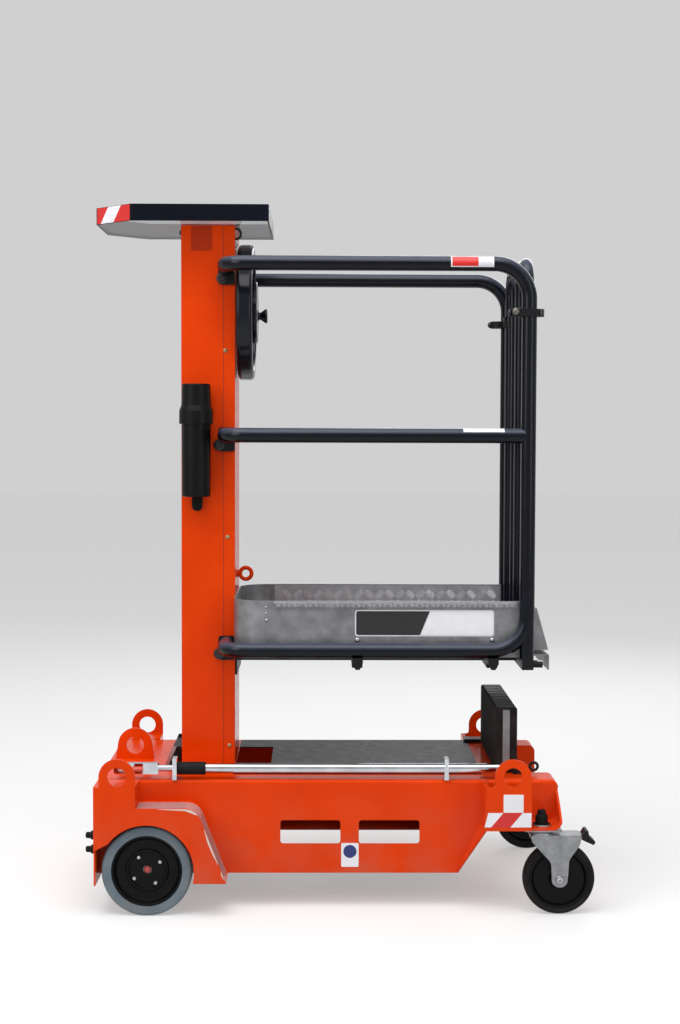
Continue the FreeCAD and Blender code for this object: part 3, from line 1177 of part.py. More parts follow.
def step_block():
    """Moulded step with grooves over its top and hinge knuckles at its foot."""
    x0, x1 = STEP_X
    z0, z1 = STEP_Z
    rows = [(x0, z0, STEP_ROUND), (x0, z1, STEP_ROUND), (x1, z1, STEP_ROUND), (x1, z0, STEP_ROUND)]
    body = side_plate(rows, -STEP_HALF_W, STEP_HALF_W)
    depth = STEP_GROOVE_DEPTH
    groove_rows = [(x0 - depth, z0 + STEP_GROOVE_FOOT, 0), (x0 - depth, z1 + depth, 0),
                   (x1 - depth, z1 + depth, 0), (x1 - depth, z1 - depth, 0),
                   (x0 + depth, z1 - depth, STEP_ROUND), (x0 + depth, z0 + STEP_GROOVE_FOOT, 0)]
    pitch = 2 * STEP_HALF_W / (STEP_GROOVES + 2)
    for index in range(STEP_GROOVES):
        middle = -STEP_HALF_W + (index + 1.5) * pitch
        low = middle - STEP_GROOVE_W / 2
        body = body.cut(side_plate(groove_rows, low, low + STEP_GROOVE_W))
    pieces = [body]
    for name, s in SIDES:
        low = s * STEP_KNUCKLE_Y - STEP_KNUCKLE_L / 2
        pieces.append(rod(at(STEP_AXIS_X, low, STEP_AXIS_Z), at(0, 1, 0), 2 * STEP_KNUCKLE_R,
                          STEP_KNUCKLE_L))
        pieces.append(block(x1 - STEP_KNUCKLE_R, STEP_AXIS_X, low, low + STEP_KNUCKLE_L,
                            STEP_AXIS_Z - STEP_KNUCKLE_R, STEP_AXIS_Z + STEP_KNUCKLE_R))
    return fuse_all(pieces).cut(rod(at(STEP_AXIS_X, -STEP_HALF_W, STEP_AXIS_Z), at(0, 1, 0),
                                    STEP_PIN_D + 2 * PIN_GAP, 2 * STEP_HALF_W))


def step_trim():
    """Aluminium strips on the two ends of the step."""
    width, sheet = STEP_TRIM
    low, high = STEP_TRIM_ENDS
    middle = (STEP_X[0] + STEP_X[1]) / 2
    solids = []
    for name, s in SIDES:
        solids.append(block(middle - width / 2, middle + width / 2, s * STEP_HALF_W,
                            s * (STEP_HALF_W + sheet), STEP_Z[0] + low, STEP_Z[1] - high))
    return Part.makeCompound(solids)


def step_bracket():
    """Hinge pin with its ears on the shelf, the plate before it, the ring and the corner plate."""
    ear_in = STEP_HALF_W + STEP_TRIM[1] + EAR_GAP
    ear_out = ear_in + EAR_SHEET
    ear_top = STEP_AXIS_Z + EAR_TOP
    rear_w, front_w = EAR_FOOT
    rows = [(STEP_AXIS_X - rear_w, TUB_TOP_Z, 0), (STEP_AXIS_X - EAR_TOP, ear_top, 6.0),
            (STEP_AXIS_X + EAR_TOP, ear_top, 6.0), (STEP_AXIS_X + front_w, TUB_TOP_Z, 0)]
    shapes = [side_plate(rows, ear_in, ear_out, s) for name, s in SIDES]
    shapes.append(rod(at(STEP_AXIS_X, -ear_out, STEP_AXIS_Z), at(0, 1, 0), STEP_PIN_D, 2 * ear_out))
    ring_y = -ear_in - EAR_SHEET / 2
    shapes.append(Part.makeTorus(RING_R, RING_WIRE_R, at(RING_X, ring_y, RING_Z), at(0, 1, 0)))
    shapes.append(rod(at(STEP_AXIS_X, ring_y, STEP_AXIS_Z + EAR_TOP / 4), at(1, 0, 0), 2 * RING_WIRE_R,
                      RING_X - RING_R - STEP_AXIS_X))
    x0, x1, y0, y1, height = CORNER_PLATE
    corner = block(x0, x1, y0, y1, TUB_TOP_Z + DECK_SHEET, TUB_TOP_Z + DECK_SHEET + height)
    return Part.makeCompound([fuse_all(shapes), corner])


def pole_tube():
    x0, x1 = POLE_X
    return rod(at(x0, -POLE_Y, POLE_Z), at(1, 0, 0), POLE_D, x1 - x0)


def pole_grip():
    profile = [(0, 0, 0), (0, GRIP_D / 2, 3.0), (POLE_X[0] - GRIP_X, GRIP_D / 2, 3.0),
               (POLE_X[0] - GRIP_X, 0, 0)]
    return turned(profile, at(GRIP_X, -POLE_Y, POLE_Z), at(1, 0, 0))


def pole_fork():
    """Slotted end piece of the pole."""
    stem_d, stem_l = FORK_STEM
    root = GRIP_X - stem_l
    half = FORK_H / 2
    low_y = -POLE_Y - FORK_W / 2
    rows = [(FORK_END_X, POLE_Z - half, half / 2), (FORK_END_X, POLE_Z + half, half / 2),
            (root, POLE_Z + half, half / 3), (root, POLE_Z - half, half / 3)]
    body = side_plate(rows, low_y, low_y + FORK_W)
    x0, x1 = FORK_SLOT_X
    slot = block(x0, x1, low_y, low_y + FORK_W, POLE_Z - FORK_SLOT_H / 2, POLE_Z + FORK_SLOT_H / 2)
    pin_d, pin_in = FORK_PIN
    hole = rod(at(FORK_END_X + pin_in, low_y, POLE_Z), at(0, 1, 0), pin_d, FORK_W)
    stem = rod(at(root, -POLE_Y, POLE_Z), at(1, 0, 0), stem_d, stem_l)
    return fuse_all([stem, body]).cut(slot).cut(hole)


def pole_clips():
    """Plates on the tub's top that hold the pole."""
    solids = []
    stem_d = FORK_STEM[0]
    for x, grip_d in zip(CLIP_X, (stem_d, POLE_D)):
        low_y = -POLE_Y - CLIP_R
        plate = block(x, x + CLIP_W, low_y, low_y + 2 * CLIP_R, TUB_TOP_Z, POLE_Z + CLIP_TOP)
        solids.append(plate.cut(rod(at(x, -POLE_Y, POLE_Z), at(1, 0, 0), grip_d, CLIP_W)))
    return Part.makeCompound(solids)


def build():
    """Every sub-part by name."""
    parts = {
        "chassis_frame": chassis_frame(),
        "middle_lug": middle_lug(),
        "deck_cover": deck_cover(),
        "base_mast": base_mast(),
        "base_collar": base_collar(),
        "mast_foot": mast_foot(),
        "rear_axle": rear_axle(),
        "rear_buffers": rear_buffers(),
        "pole_tube": pole_tube(),
        "pole_grip": pole_grip(),
        "pole_fork": pole_fork(),
        "pole_clips": pole_clips(),
        "step_bracket": step_bracket(),
        "mid_mast": mid_mast(),
        "mid_collars": mid_collars(),
        "column_shell": column_shell(),
        "column_front": column_front(),
        "column_collar": column_collar(),
        "tray_floor": tray_floor(),
        "tray_rim": tray_rim(),
        "wheel_bearing": wheel_bearing(),
        "document_tube": document_tube(),
        "eye_bolt": eye_bolt(),
        "rail_fittings": rail_fittings(),
        "platform_frame": platform_frame(),
        "platform_floor": platform_floor(),
        "toe_boards": toe_boards(),
        "handwheel": handwheel(),
        "wheel_knob": wheel_knob(),
        "step_block": step_block(),
        "step_trim": step_trim(),
    }
    both_sides = [("wheel_cover", wheel_cover), ("castor_housing", castor_housing),
                  ("front_lug", front_lug), ("castor_mount", castor_mount), ("castor_cap", castor_cap),
                  ("rear_tyre", rear_tyre), ("rear_hub", rear_hub), ("castor_fork", castor_fork),
                  ("castor_brake", castor_brake), ("castor_tyre", castor_tyre),
                  ("castor_core", castor_core), ("guard_rail", guard_rail),
                  ("gate_frame", gate_frame), ("kick_plate", kick_plate)]
    for side_name, s in SIDES:
        for name, make in both_sides:
            parts[name + "_" + side_name] = make(s)
    return parts


os.makedirs("parts", exist_ok=True)
for node, shape in build().items():
    if not shape.isValid():
        print("not valid:", node)
    shape.exportStep("parts/" + node + ".step")
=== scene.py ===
"""Looks of a vertical mast lift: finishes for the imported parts, and the small things on them.

Everything is in metres in the part's own frame. Right is -Y, the side the camera sees.
"""
import json
import math

import bmesh
import bpy
from mathutils import Matrix, Vector


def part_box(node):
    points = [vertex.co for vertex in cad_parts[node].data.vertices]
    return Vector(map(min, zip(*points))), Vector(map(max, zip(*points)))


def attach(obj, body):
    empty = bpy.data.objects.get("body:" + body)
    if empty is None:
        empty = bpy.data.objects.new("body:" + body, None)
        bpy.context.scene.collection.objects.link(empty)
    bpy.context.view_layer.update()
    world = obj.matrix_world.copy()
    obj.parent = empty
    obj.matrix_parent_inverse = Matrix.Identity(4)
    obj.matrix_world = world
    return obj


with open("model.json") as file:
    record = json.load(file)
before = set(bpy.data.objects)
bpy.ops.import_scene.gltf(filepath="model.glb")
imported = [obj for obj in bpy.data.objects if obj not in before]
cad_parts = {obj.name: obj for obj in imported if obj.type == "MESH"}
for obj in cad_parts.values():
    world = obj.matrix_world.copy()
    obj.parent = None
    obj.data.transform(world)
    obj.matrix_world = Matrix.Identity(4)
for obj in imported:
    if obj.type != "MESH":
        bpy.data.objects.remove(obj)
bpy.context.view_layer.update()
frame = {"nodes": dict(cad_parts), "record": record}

NODES = frame["nodes"]
RIGHT = -1
LEFT = 1
SIDES = ((RIGHT, "right"), (LEFT, "left"))

# Camera of the photograph
CAMERA_PLACE = (-0.0528, -5.0506, 1.3491)
CAMERA_YAW = 0.0114
CAMERA_PITCH = -0.0492
CAMERA_ROLL = 0.0030
CAMERA_FOCAL_PX = 1700.05
FRAME_LONG_PX = 1024
SENSOR_MM = 36.0

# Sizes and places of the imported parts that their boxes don't give
RAIL_R = 0.021
RAIL_MID_Z = 1.329
TOE_Y = 0.26
TOE_T = 0.003
TUB_SIDE_Y = 0.312
TRAY_CHAMFER = 0.11
REAR_AXLE_X = -0.531
REAR_AXLE_Z = 0.125
TYRE_FACE_Y = 0.403
HUB_DISH = 0.016
HUB_CAP_Y = 0.381
CASTOR_AXLE_X = 0.6125
CASTOR_AXLE_Z = 0.100
CASTOR_Y = 0.370
CASTOR_LEG_Y = 0.031

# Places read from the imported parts
COLUMN_SIDE_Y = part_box("column_front")[1][1]
COLUMN_FRONT_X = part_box("column_front")[1][0]
COLUMN_REAR_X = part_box("column_shell")[0][0]
SEAM_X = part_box("column_front")[0][0]
RAIL_Y = -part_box("guard_rail_right")[0][1] - RAIL_R
RAIL_TOP_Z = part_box("guard_rail_right")[1][2] - RAIL_R
TOE_LOW, TOE_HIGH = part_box("toe_boards")
FLOOR_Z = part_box("platform_floor")[1][2]
PLATE_Y = -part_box("front_lug_right")[0][1]
TRAY_LOW, TRAY_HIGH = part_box("tray_rim")
STEP_LOW, STEP_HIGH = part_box("step_block")


# Mesh helpers

def frame_matrix(origin, normal, up=(0, 0, 1)):
    """Placement whose local Z is the normal and whose local Y leans towards up."""
    z = Vector(normal).normalized()
    y = Vector(up)
    if abs(z.dot(y.normalized())) > 0.99:
        y = Vector((1, 0, 0))
    x = y.cross(z).normalized()
    y = z.cross(x)
    matrix = Matrix((x, y, z)).transposed().to_4x4()
    matrix.translation = Vector(origin)
    return matrix


class Piece:
    """Collects small meshes into one object."""

    def __init__(self, name, body, materials):
        self.name = name
        self.body = body
        self.materials = materials
        self.mesh = bmesh.new()

    def add(self, vertices, faces, matrix=None, index=0, smooth=False):
        made = []
        for vertex in vertices:
            point = Vector(vertex)
            made.append(self.mesh.verts.new(matrix @ point if matrix else point))
        for face in faces:
            new = self.mesh.faces.new([made[i] for i in face])
            new.material_index = index
            new.smooth = smooth

    def lathe(self, profile, matrix, segments=24, index=0, smooth=True):
        """Turned solid from rows of radius and height, closed where the radius is 0."""
        rings = []
        for radius, height in profile:
            if radius == 0:
                rings.append([self.mesh.verts.new(matrix @ Vector((0, 0, height)))])
                continue
            ring = []
            for step in range(segments):
                angle = 2 * math.pi * step / segments
                point = Vector((radius * math.cos(angle), radius * math.sin(angle), height))
                ring.append(self.mesh.verts.new(matrix @ point))
            rings.append(ring)
        for low, high in zip(rings, rings[1:]):
            for step in range(segments):
                following = (step + 1) % segments
                corners = []
                for ring, i in ((low, step), (low, following), (high, following), (high, step)):
                    vertex = ring[0] if len(ring) == 1 else ring[i]
                    if vertex not in corners:
                        corners.append(vertex)
                if len(corners) > 2:
                    face = self.mesh.faces.new(corners)
                    face.material_index = index
                    face.smooth = smooth

    def slab(self, outline, matrix, thickness, index=0):
        """Flat sheet from an outline in the local XY plane."""
        count = len(outline)
        vertices = [(x, y, 0) for x, y in outline] + [(x, y, thickness) for x, y in outline]
        faces = [list(range(count))[::-1], [count + i for i in range(count)]]
        for i in range(count):
            j = (i + 1) % count
            faces.append([i, j, count + j, count + i])
        self.add(vertices, faces, matrix, index)

    def side_sheet(self, run, heights, y, facing, thickness, radius, steps):
        """Rounded sheet over a run of x and a range of z, on a face at y that looks to one side."""
        outline = rounded(run[1] - run[0], heights[1] - heights[0], radius, steps)
        middle = (sum(run) / 2, y, sum(heights) / 2)
        self.slab(outline, frame_matrix(middle, (0, facing, 0)), thickness)

    def loft(self, sections, index=0, smooth=False):
        """Closed skin through sections with the same number of corners."""
        count = len(sections[0])
        vertices = [corner for section in sections for corner in section]
        last = len(vertices) - count
        faces = [list(range(count))[::-1], [last + i for i in range(count)]]
        for low in range(0, last, count):
            for i in range(count):
                j = (i + 1) % count
                faces.append([low + i, low + j, low + count + j, low + count + i])
        self.add(vertices, faces, None, index, smooth)

    def bar(self, points, radius, segments=12):
        """Round bar through points that lie in one XZ plane."""
        sections = []
        for i, point in enumerate(points):
            before = Vector(points[max(i - 1, 0)])
            after = Vector(points[min(i + 1, len(points) - 1)])
            matrix = frame_matrix(point, after - before, (0, 1, 0))
            ring = []
            for step in range(segments):
                angle = 2 * math.pi * step / segments
                ring.append(matrix @ Vector((radius * math.cos(angle), radius * math.sin(angle), 0)))
            sections.append(ring)
        self.loft(sections, smooth=True)

    def finish(self, slot, bevel=0.0):
        """Make the object with its materials and hand it to its body; the slot is not used."""
        bmesh.ops.recalc_face_normals(self.mesh, faces=self.mesh.faces)
        data = bpy.data.meshes.new(self.name)
        self.mesh.to_mesh(data)
        self.mesh.free()
        piece = bpy.data.objects.new(self.name, data)
        bpy.context.scene.collection.objects.link(piece)
        for material in self.materials:
            data.materials.append(material)
        if bevel:
            modifier = piece.modifiers.new("soft_edges", "BEVEL")
            modifier.width = bevel
            modifier.segments = 2
            modifier.limit_method = "ANGLE"
        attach(piece, self.body)


def rounded(width, height, radius, steps=5):
    """Outline of a rectangle with round corners about the origin."""
    points = []
    for cx, cy, start in ((1, 1, 0), (-1, 1, 90), (-1, -1, 180), (1, -1, 270)):
        for step in range(steps + 1):
            angle = math.radians(start + 90 * step / steps)
            points.append((cx * (width / 2 - radius) + radius * math.cos(angle),
                           cy * (height / 2 - radius) + radius * math.sin(angle)))
    return points


def disc(radius, rise, steps=32):
    """Outline of a disc, raised above the origin."""
    angles = [2 * math.pi * i / steps for i in range(steps)]
    return [(radius * math.cos(angle), radius * math.sin(angle) + rise) for angle in angles]


def cut_line(outline, a, b, c):
    """Part of an outline where a*x + b*y <= c."""
    def level(point):
        return a * point[0] + b * point[1] - c

    kept = []
    for before, after in zip(outline[-1:] + outline[:-1], outline):
        if (level(after) <= 0) != (level(before) <= 0):
            share = level(before) / (level(before) - level(after))
            kept.append((before[0] + (after[0] - before[0]) * share,
                         before[1] + (after[1] - before[1]) * share))
        if level(after) <= 0:
            kept.append(after)
    return kept


def slanted(width, height, start, end, lean):
    """Part of a strip between two slanted lines, as shares of its width."""
    right = width / 2
    top = height / 2
    strip = [(-right, -top), (right, -top), (right, top), (-right, top)]
    if end < 1:
        strip = cut_line(strip, 1, -lean, -right + end * width)
    if start > 0:
        strip = cut_line(strip, -1, lean, right - start * width)
    return strip


# Shader helpers

# Sockets of a mix node that mixes colours
MIX_FIRST = 6
MIX_SECOND = 7
MIX_RESULT = 2
EVEN = (1.0, 1.0, 1.0)


def linear(r, g, b):
    """Scene colour from 0 to 255 display values."""
    def curve(v):
        v = v / 255
        return v / 12.92 if v <= 0.04045 else ((v + 0.055) / 1.055) ** 2.4
    return (curve(r), curve(g), curve(b))


def noise(tree, scale, detail=4.0, roughness=0.55, stretch=EVEN):
    """Noise fixed to the object, from 0 to 1."""
    source = tree.nodes.new("ShaderNodeTexCoord")
    mapping = tree.nodes.new("ShaderNodeMapping")
    mapping.inputs["Scale"].default_value = stretch
    tree.links.new(source.outputs["Object"], mapping.inputs["Vector"])
    node = tree.nodes.new("ShaderNodeTexNoise")
    node.inputs["Scale"].default_value = scale
    node.inputs["Detail"].default_value = detail
    node.inputs["Roughness"].default_value = roughness
    tree.links.new(mapping.outputs["Vector"], node.inputs["Vector"])
    return node.outputs["Fac"]


def remap(tree, value, source, target):
    """Value moved from one range to another."""
    node = tree.nodes.new("ShaderNodeMapRange")
    node.inputs["From Min"].default_value = source[0]
    node.inputs["From Max"].default_value = source[1]
    node.inputs["To Min"].default_value = target[0]
    node.inputs["To Max"].default_value = target[1]
    tree.links.new(value, node.inputs["Value"])
    return node.outputs["Result"]


def mixed(tree, factor, first, second):
    """Colour between two colours, each a tuple or an output."""
    node = tree.nodes.new("ShaderNodeMix")
    node.data_type = "RGBA"
    tree.links.new(factor, node.inputs["Factor"])
    for socket, value in ((MIX_FIRST, first), (MIX_SECOND, second)):
        if isinstance(value, tuple):
            node.inputs[socket].default_value = value + (1.0,)
        else:
            tree.links.new(value, node.inputs[socket])
    return node.outputs[MIX_RESULT]


def calculated(tree, operation, first, second):
    """Result of a calculation on an output and a number, or on two outputs."""
    node = tree.nodes.new("ShaderNodeMath")
    node.operation = operation
    tree.links.new(first, node.inputs[0])
    if isinstance(second, float):
        node.inputs[1].default_value = second
    else:
        tree.links.new(second, node.inputs[1])
    return node.outputs["Value"]


def z_mask(tree, vector, heights, values):
    """Values that follow the Z of a vector between two heights."""
    split = tree.nodes.new("ShaderNodeSeparateXYZ")
    tree.links.new(vector, split.inputs["Vector"])
    return remap(tree, split.outputs["Z"], heights, values)


def height_mask(tree, heights):
    """1 below the low height, 0 above the high one."""
    source = tree.nodes.new("ShaderNodeTexCoord")
    return z_mask(tree, source.outputs["Object"], heights, (1.0, 0.0))


def upward_mask(tree, slopes):
    """0 where a face looks sideways or down, 1 where it looks up."""
    geometry = tree.nodes.new("ShaderNodeNewGeometry")
    return z_mask(tree, geometry.outputs["Normal"], slopes, (0.0, 1.0))


# Materials

TONE_RANGE = (0.3, 0.7)
ROUGH_SCALE = 30.0
DUST_COLOUR = linear(150, 138, 122)
DUST_SCALE = 9.0
DUST_RANGE = (0.35, 0.75)
DUST_HEIGHTS = (0.05, 0.35)
# Normal slopes over which the painted sky sheen fades in on faces that look up
PAINTED_SHEEN_SLOPES = (0.1, 0.75)


def shader_of(material):
    return material.node_tree.nodes["Principled BSDF"]


def finish_material(name, dark, light, rough, bump_scale, bump, bump_stretch=EVEN, metallic=0.0,
                    specular=0.5, colour_scale=6.0, dust=0.0, painted_sheen=None, edge=0.0):
    """Two-tone surface with its own roughness and grain; dust, a painted sky sheen on upward faces and soft
    edges where given.
    """
    material = bpy.data.materials.new(name)
    material.use_nodes = True
    tree = material.node_tree
    shader = shader_of(material)
    shader.inputs["Metallic"].default_value = metallic
    shader.inputs["Specular IOR Level"].default_value = specular
    tone = remap(tree, noise(tree, colour_scale), TONE_RANGE, (0.0, 1.0))
    colour = mixed(tree, tone, dark, light)
    if dust:
        patch = remap(tree, noise(tree, DUST_SCALE, detail=6.0), DUST_RANGE, (0.0, dust))
        amount = calculated(tree, "MULTIPLY", patch, height_mask(tree, DUST_HEIGHTS))
        colour = mixed(tree, amount, colour, DUST_COLOUR)
    # Painted sheen: faces that look up turn lighter, standing for the sky's reflection on them
    if painted_sheen:
        colour = mixed(tree, upward_mask(tree, PAINTED_SHEEN_SLOPES), colour, painted_sheen)
    tree.links.new(colour, shader.inputs["Base Color"])
    gloss = remap(tree, noise(tree, ROUGH_SCALE, detail=5.0), TONE_RANGE, rough)
    tree.links.new(gloss, shader.inputs["Roughness"])
    grain = tree.nodes.new("ShaderNodeBump")
    grain.inputs["Strength"].default_value = 1.0
    grain.inputs["Distance"].default_value = bump
    pattern = noise(tree, bump_scale, detail=3.0, roughness=0.6, stretch=bump_stretch)
    tree.links.new(pattern, grain.inputs["Height"])
    if edge:
        soft = tree.nodes.new("ShaderNodeBevel")
        soft.samples = 4
        soft.inputs["Radius"].default_value = edge
        tree.links.new(soft.outputs["Normal"], grain.inputs["Normal"])
    tree.links.new(grain.outputs["Normal"], shader.inputs["Normal"])
    return material


def flat_material(name, colour, rough=(0.3, 0.4), metallic=0.0, bump=0.00003):
    """Vinyl, ink, film or plating with a faint mottle."""
    dark = tuple(channel * 0.94 for channel in colour)
    return finish_material(name, dark, colour, rough, bump_scale=300.0, bump=bump, metallic=metallic,
                           colour_scale=30.0)


def see_through(material, alpha):
    shader_of(material).inputs["Alpha"].default_value = alpha
    return material


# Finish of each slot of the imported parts
FINISHES = {
    "orange_paint": dict(
        dark=linear(214, 57, 2), light=linear(224, 64, 4), rough=(0.14, 0.24), specular=0.09,
        bump_scale=420.0, bump=0.00003, dust=0.25, edge=0.0016),
    "deck_paint": dict(
        dark=linear(36, 36, 38), light=linear(48, 48, 51), rough=(0.3, 0.44), specular=0.1,
        bump_scale=420.0, bump=0.00003, edge=0.001, colour_scale=11.0),
    # The rails' lighter upward faces are a painted reflection of the sky
    "rail_paint": dict(
        dark=linear(2, 4, 11), light=linear(5, 8, 20), rough=(0.16, 0.26), specular=0.22,
        bump_scale=200.0, bump=0.00001, painted_sheen=linear(62, 67, 81)),
    "black_paint": dict(
        dark=linear(12, 12, 14), light=linear(19, 19, 21), rough=(0.35, 0.5), specular=0.2,
        bump_scale=600.0, bump=0.00005, edge=0.001),
    "mast_aluminium": dict(
        dark=linear(168, 170, 172), light=linear(192, 194, 196), rough=(0.28, 0.42), metallic=1.0,
        bump_scale=60.0, bump=0.00003, bump_stretch=(20.0, 20.0, 0.6), edge=0.001),
    "tread_aluminium": dict(
        dark=linear(112, 112, 114), light=linear(142, 142, 144), rough=(0.34, 0.5), metallic=0.6,
        specular=0.3, bump_scale=240.0, bump=0.00004, edge=0.001, colour_scale=26.0),
    "nylon": dict(
        dark=linear(200, 199, 191), light=linear(216, 215, 208), rough=(0.5, 0.6),
        bump_scale=300.0, bump=0.00004),
    "zinc": dict(
        dark=linear(122, 124, 127), light=linear(152, 153, 156), rough=(0.24, 0.4), metallic=0.9,
        bump_scale=180.0, bump=0.00004, edge=0.0012, colour_scale=40.0),
    "chrome": dict(
        dark=linear(180, 183, 189), light=linear(204, 206, 211), rough=(0.05, 0.12), metallic=1.0,
        bump_scale=25.0, bump=0.00002, colour_scale=20.0),
    "black_rubber": dict(
        dark=linear(12, 12, 13), light=linear(20, 20, 21), rough=(0.6, 0.8), specular=0.2,
        bump_scale=700.0, bump=0.0001),
    "grey_tyre": dict(
        dark=linear(92, 106, 116), light=linear(108, 122, 132), rough=(0.55, 0.7), specular=0.3,
        bump_scale=500.0, bump=0.00012, dust=0.3, edge=0.001, colour_scale=18.0),
    "dark_tyre": dict(
        dark=linear(10, 10, 12), light=linear(17, 17, 19), rough=(0.5, 0.68), specular=0.12,
        bump_scale=500.0, bump=0.0001, dust=0.08, edge=0.001),
    "wheel_plastic": dict(
        dark=linear(5, 5, 6), light=linear(10, 10, 11), rough=(0.32, 0.48), specular=0.13,
        bump_scale=900.0, bump=0.00006, edge=0.001),
    "gloss_plastic": dict(
        dark=linear(8, 11, 19), light=linear(13, 16, 26), rough=(0.14, 0.24), specular=0.25,
        bump_scale=200.0, bump=0.00002, edge=0.0012),
    "smoke_plastic": dict(
        dark=linear(140, 142, 147), light=linear(156, 158, 163), rough=(0.08, 0.14), specular=0.3,
        bump_scale=90.0, bump=0.00003),
}
MATERIALS = {name: finish_material(name, **finish) for name, finish in FINISHES.items()}
see_through(MATERIALS["smoke_plastic"], 0.45)

TREAD_BAR = finish_material(
    "tread_bar", linear(196, 196, 199), linear(226, 226, 229), (0.26, 0.38), metallic=0.6,
    bump_scale=300.0, bump=0.00002, colour_scale=40.0)
# Paler copy of the tread aluminium: painted light that lifts the far board's inner face out of the near
# board's shade
PAINTED_LIGHT_PLATE = finish_material(
    "painted_light_plate", linear(140, 140, 144), linear(166, 166, 170), (0.4, 0.55), metallic=0.4,
    bump_scale=240.0, bump=0.00004, colour_scale=34.0)
STEP_RUBBER = finish_material(
    "step_rubber", linear(30, 27, 27), linear(50, 45, 43), (0.6, 0.8), specular=0.03,
    bump_scale=500.0, bump=0.00008, edge=0.001, colour_scale=30.0)
RIM_PLASTIC = finish_material(
    "rim_plastic", linear(9, 12, 21), linear(13, 17, 28), (0.3, 0.42), specular=0.07,
    bump_scale=200.0, bump=0.00002, edge=0.0012)

WHITE_VINYL = flat_material("white_vinyl", linear(232, 232, 236))
RED_VINYL = flat_material("red_vinyl", linear(205, 34, 30))
BLUE_VINYL = flat_material("blue_vinyl", linear(28, 44, 110))
BLACK_VINYL = flat_material("black_vinyl", linear(26, 25, 27))
BOLT_STEEL = flat_material("bolt_steel", linear(176, 176, 178), (0.22, 0.36), 0.95)
BOLT_BLACK = flat_material("bolt_black", linear(20, 20, 22), (0.3, 0.45))
BOLT_BRASS = flat_material("bolt_brass", linear(176, 150, 110), (0.3, 0.45), 0.6)
CAP_RED = flat_material("cap_red", linear(176, 72, 66), (0.5, 0.65), bump=0.0002)
# A real clear film whose pale tone is a painted glare of light on it
FILM_WITH_PAINTED_GLARE = see_through(flat_material("film_with_painted_glare", linear(214, 206, 206), (0.08, 0.16)), 0.45)
FILM_GLARE = see_through(flat_material("film_glare", linear(236, 222, 208), (0.08, 0.16)), 0.8)
THIN_FILM = see_through(flat_material("thin_film", linear(128, 84, 92), (0.08, 0.16)), 0.06)
PALE_BORDER = flat_material("pale_border", linear(214, 214, 220))
SEAM_SHADOW = flat_material("seam_shadow", linear(118, 30, 8), (0.5, 0.6))
CLAMP_BRONZE = flat_material("clamp_bronze", linear(104, 101, 94), (0.3, 0.42), 0.7)
RIB_RUBBER = flat_material("rib_rubber", linear(58, 57, 59), (0.55, 0.7), bump=0.0001)

# Parts that look unlike the rest of their slot
OWN_MATERIALS = {"step_block": STEP_RUBBER, "tray_rim": RIM_PLASTIC}
SLOT_OF_NODE = {row["node"]: row["material_slot"] for row in frame["record"]["subparts"]}


def dress_parts():
    """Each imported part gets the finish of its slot, or its own."""
    for node, part in NODES.items():
        part.data.materials.clear()
        part.data.materials.append(OWN_MATERIALS.get(node, MATERIALS[SLOT_OF_NODE[node]]))


# Screws and bolts

# Degrees up a button head's round side
DOME_STEP = 15
DOME_END = 75


def hex_bolt(piece, origin, normal, across, height, washer=True):
    """Hexagon head with a chamfered crown, on a washer or bare."""
    matrix = frame_matrix(origin, normal)
    radius = across / math.sqrt(3)
    base = 0.0
    if washer:
        thick = height * 0.22
        piece.lathe([(0, 0), (across * 0.95, 0), (across * 0.95, thick * 0.8), (across * 0.9, thick),
                     (0, thick)], matrix)
        base = thick
    piece.lathe([(0, base), (radius, base), (radius, base + height * 0.8), (radius * 0.86, base + height),
                 (0, base + height)], matrix, segments=6, smooth=False)


def dome_bolt(piece, origin, normal, diameter, height, index=0, socket=True):
    """Button head, with a round socket or closed."""
    radius = diameter / 2
    profile = [(0, 0), (radius, 0)]
    for degrees in range(DOME_STEP, DOME_END + 1, DOME_STEP):
        angle = math.radians(degrees)
        rise = height * math.sin(angle) / math.sin(math.radians(DOME_END))
        profile.append((radius * math.cos(angle), rise))
    if socket:
        inner = radius * 0.42
        profile += [(inner, height), (inner, height * 0.45), (0, height * 0.45)]
    else:
        profile += [(0, height)]
    piece.lathe(profile, frame_matrix(origin, normal), index=index)


# Each row: x and z on the column's sides
COLUMN_SCREWS = [(-0.3286, 1.5725), (-0.3227, 1.0329), (-0.3169, 0.4238)]
COLUMN_SCREW_D = 0.013
COLUMN_SCREW_H = 0.0045


def add_column_screws():
    screws = Piece("column_screws", "platform", [BOLT_BRASS])
    for s in (RIGHT, LEFT):
        for x, z in COLUMN_SCREWS:
            dome_bolt(screws, (x, s * COLUMN_SIDE_Y, z), (0, s, 0), COLUMN_SCREW_D, COLUMN_SCREW_H)
    screws.finish("zinc")


# Each row: x and z of a rail's root
ROOT_BOLTS = [(-0.3382, 1.779), (-0.347, 1.3), (-0.347, 0.694)]
ROOT_PLATE_T = 0.006
ROOT_BOLT_ACROSS = 0.017
ROOT_BOLT_H = 0.008
REAR_BOLT_Y = 0.1
REAR_BOLT_Z = 1.912
REAR_BOLT_D = 0.018
REAR_BOLT_H = 0.007


def add_rail_root_bolts():
    """Hexagon bolts at the rails' roots and round ones on the column's rear face."""
    bolts = Piece("rail_root_bolts", "platform", [BOLT_BLACK])
    for s in (RIGHT, LEFT):
        for x, z in ROOT_BOLTS:
            place = (x, s * (COLUMN_SIDE_Y + ROOT_PLATE_T), z)
            hex_bolt(bolts, place, (0, s, 0), ROOT_BOLT_ACROSS, ROOT_BOLT_H)
        dome_bolt(bolts, (COLUMN_REAR_X, s * REAR_BOLT_Y, REAR_BOLT_Z), (-1, 0, 0), REAR_BOLT_D, REAR_BOLT_H)
    bolts.finish("black_paint")


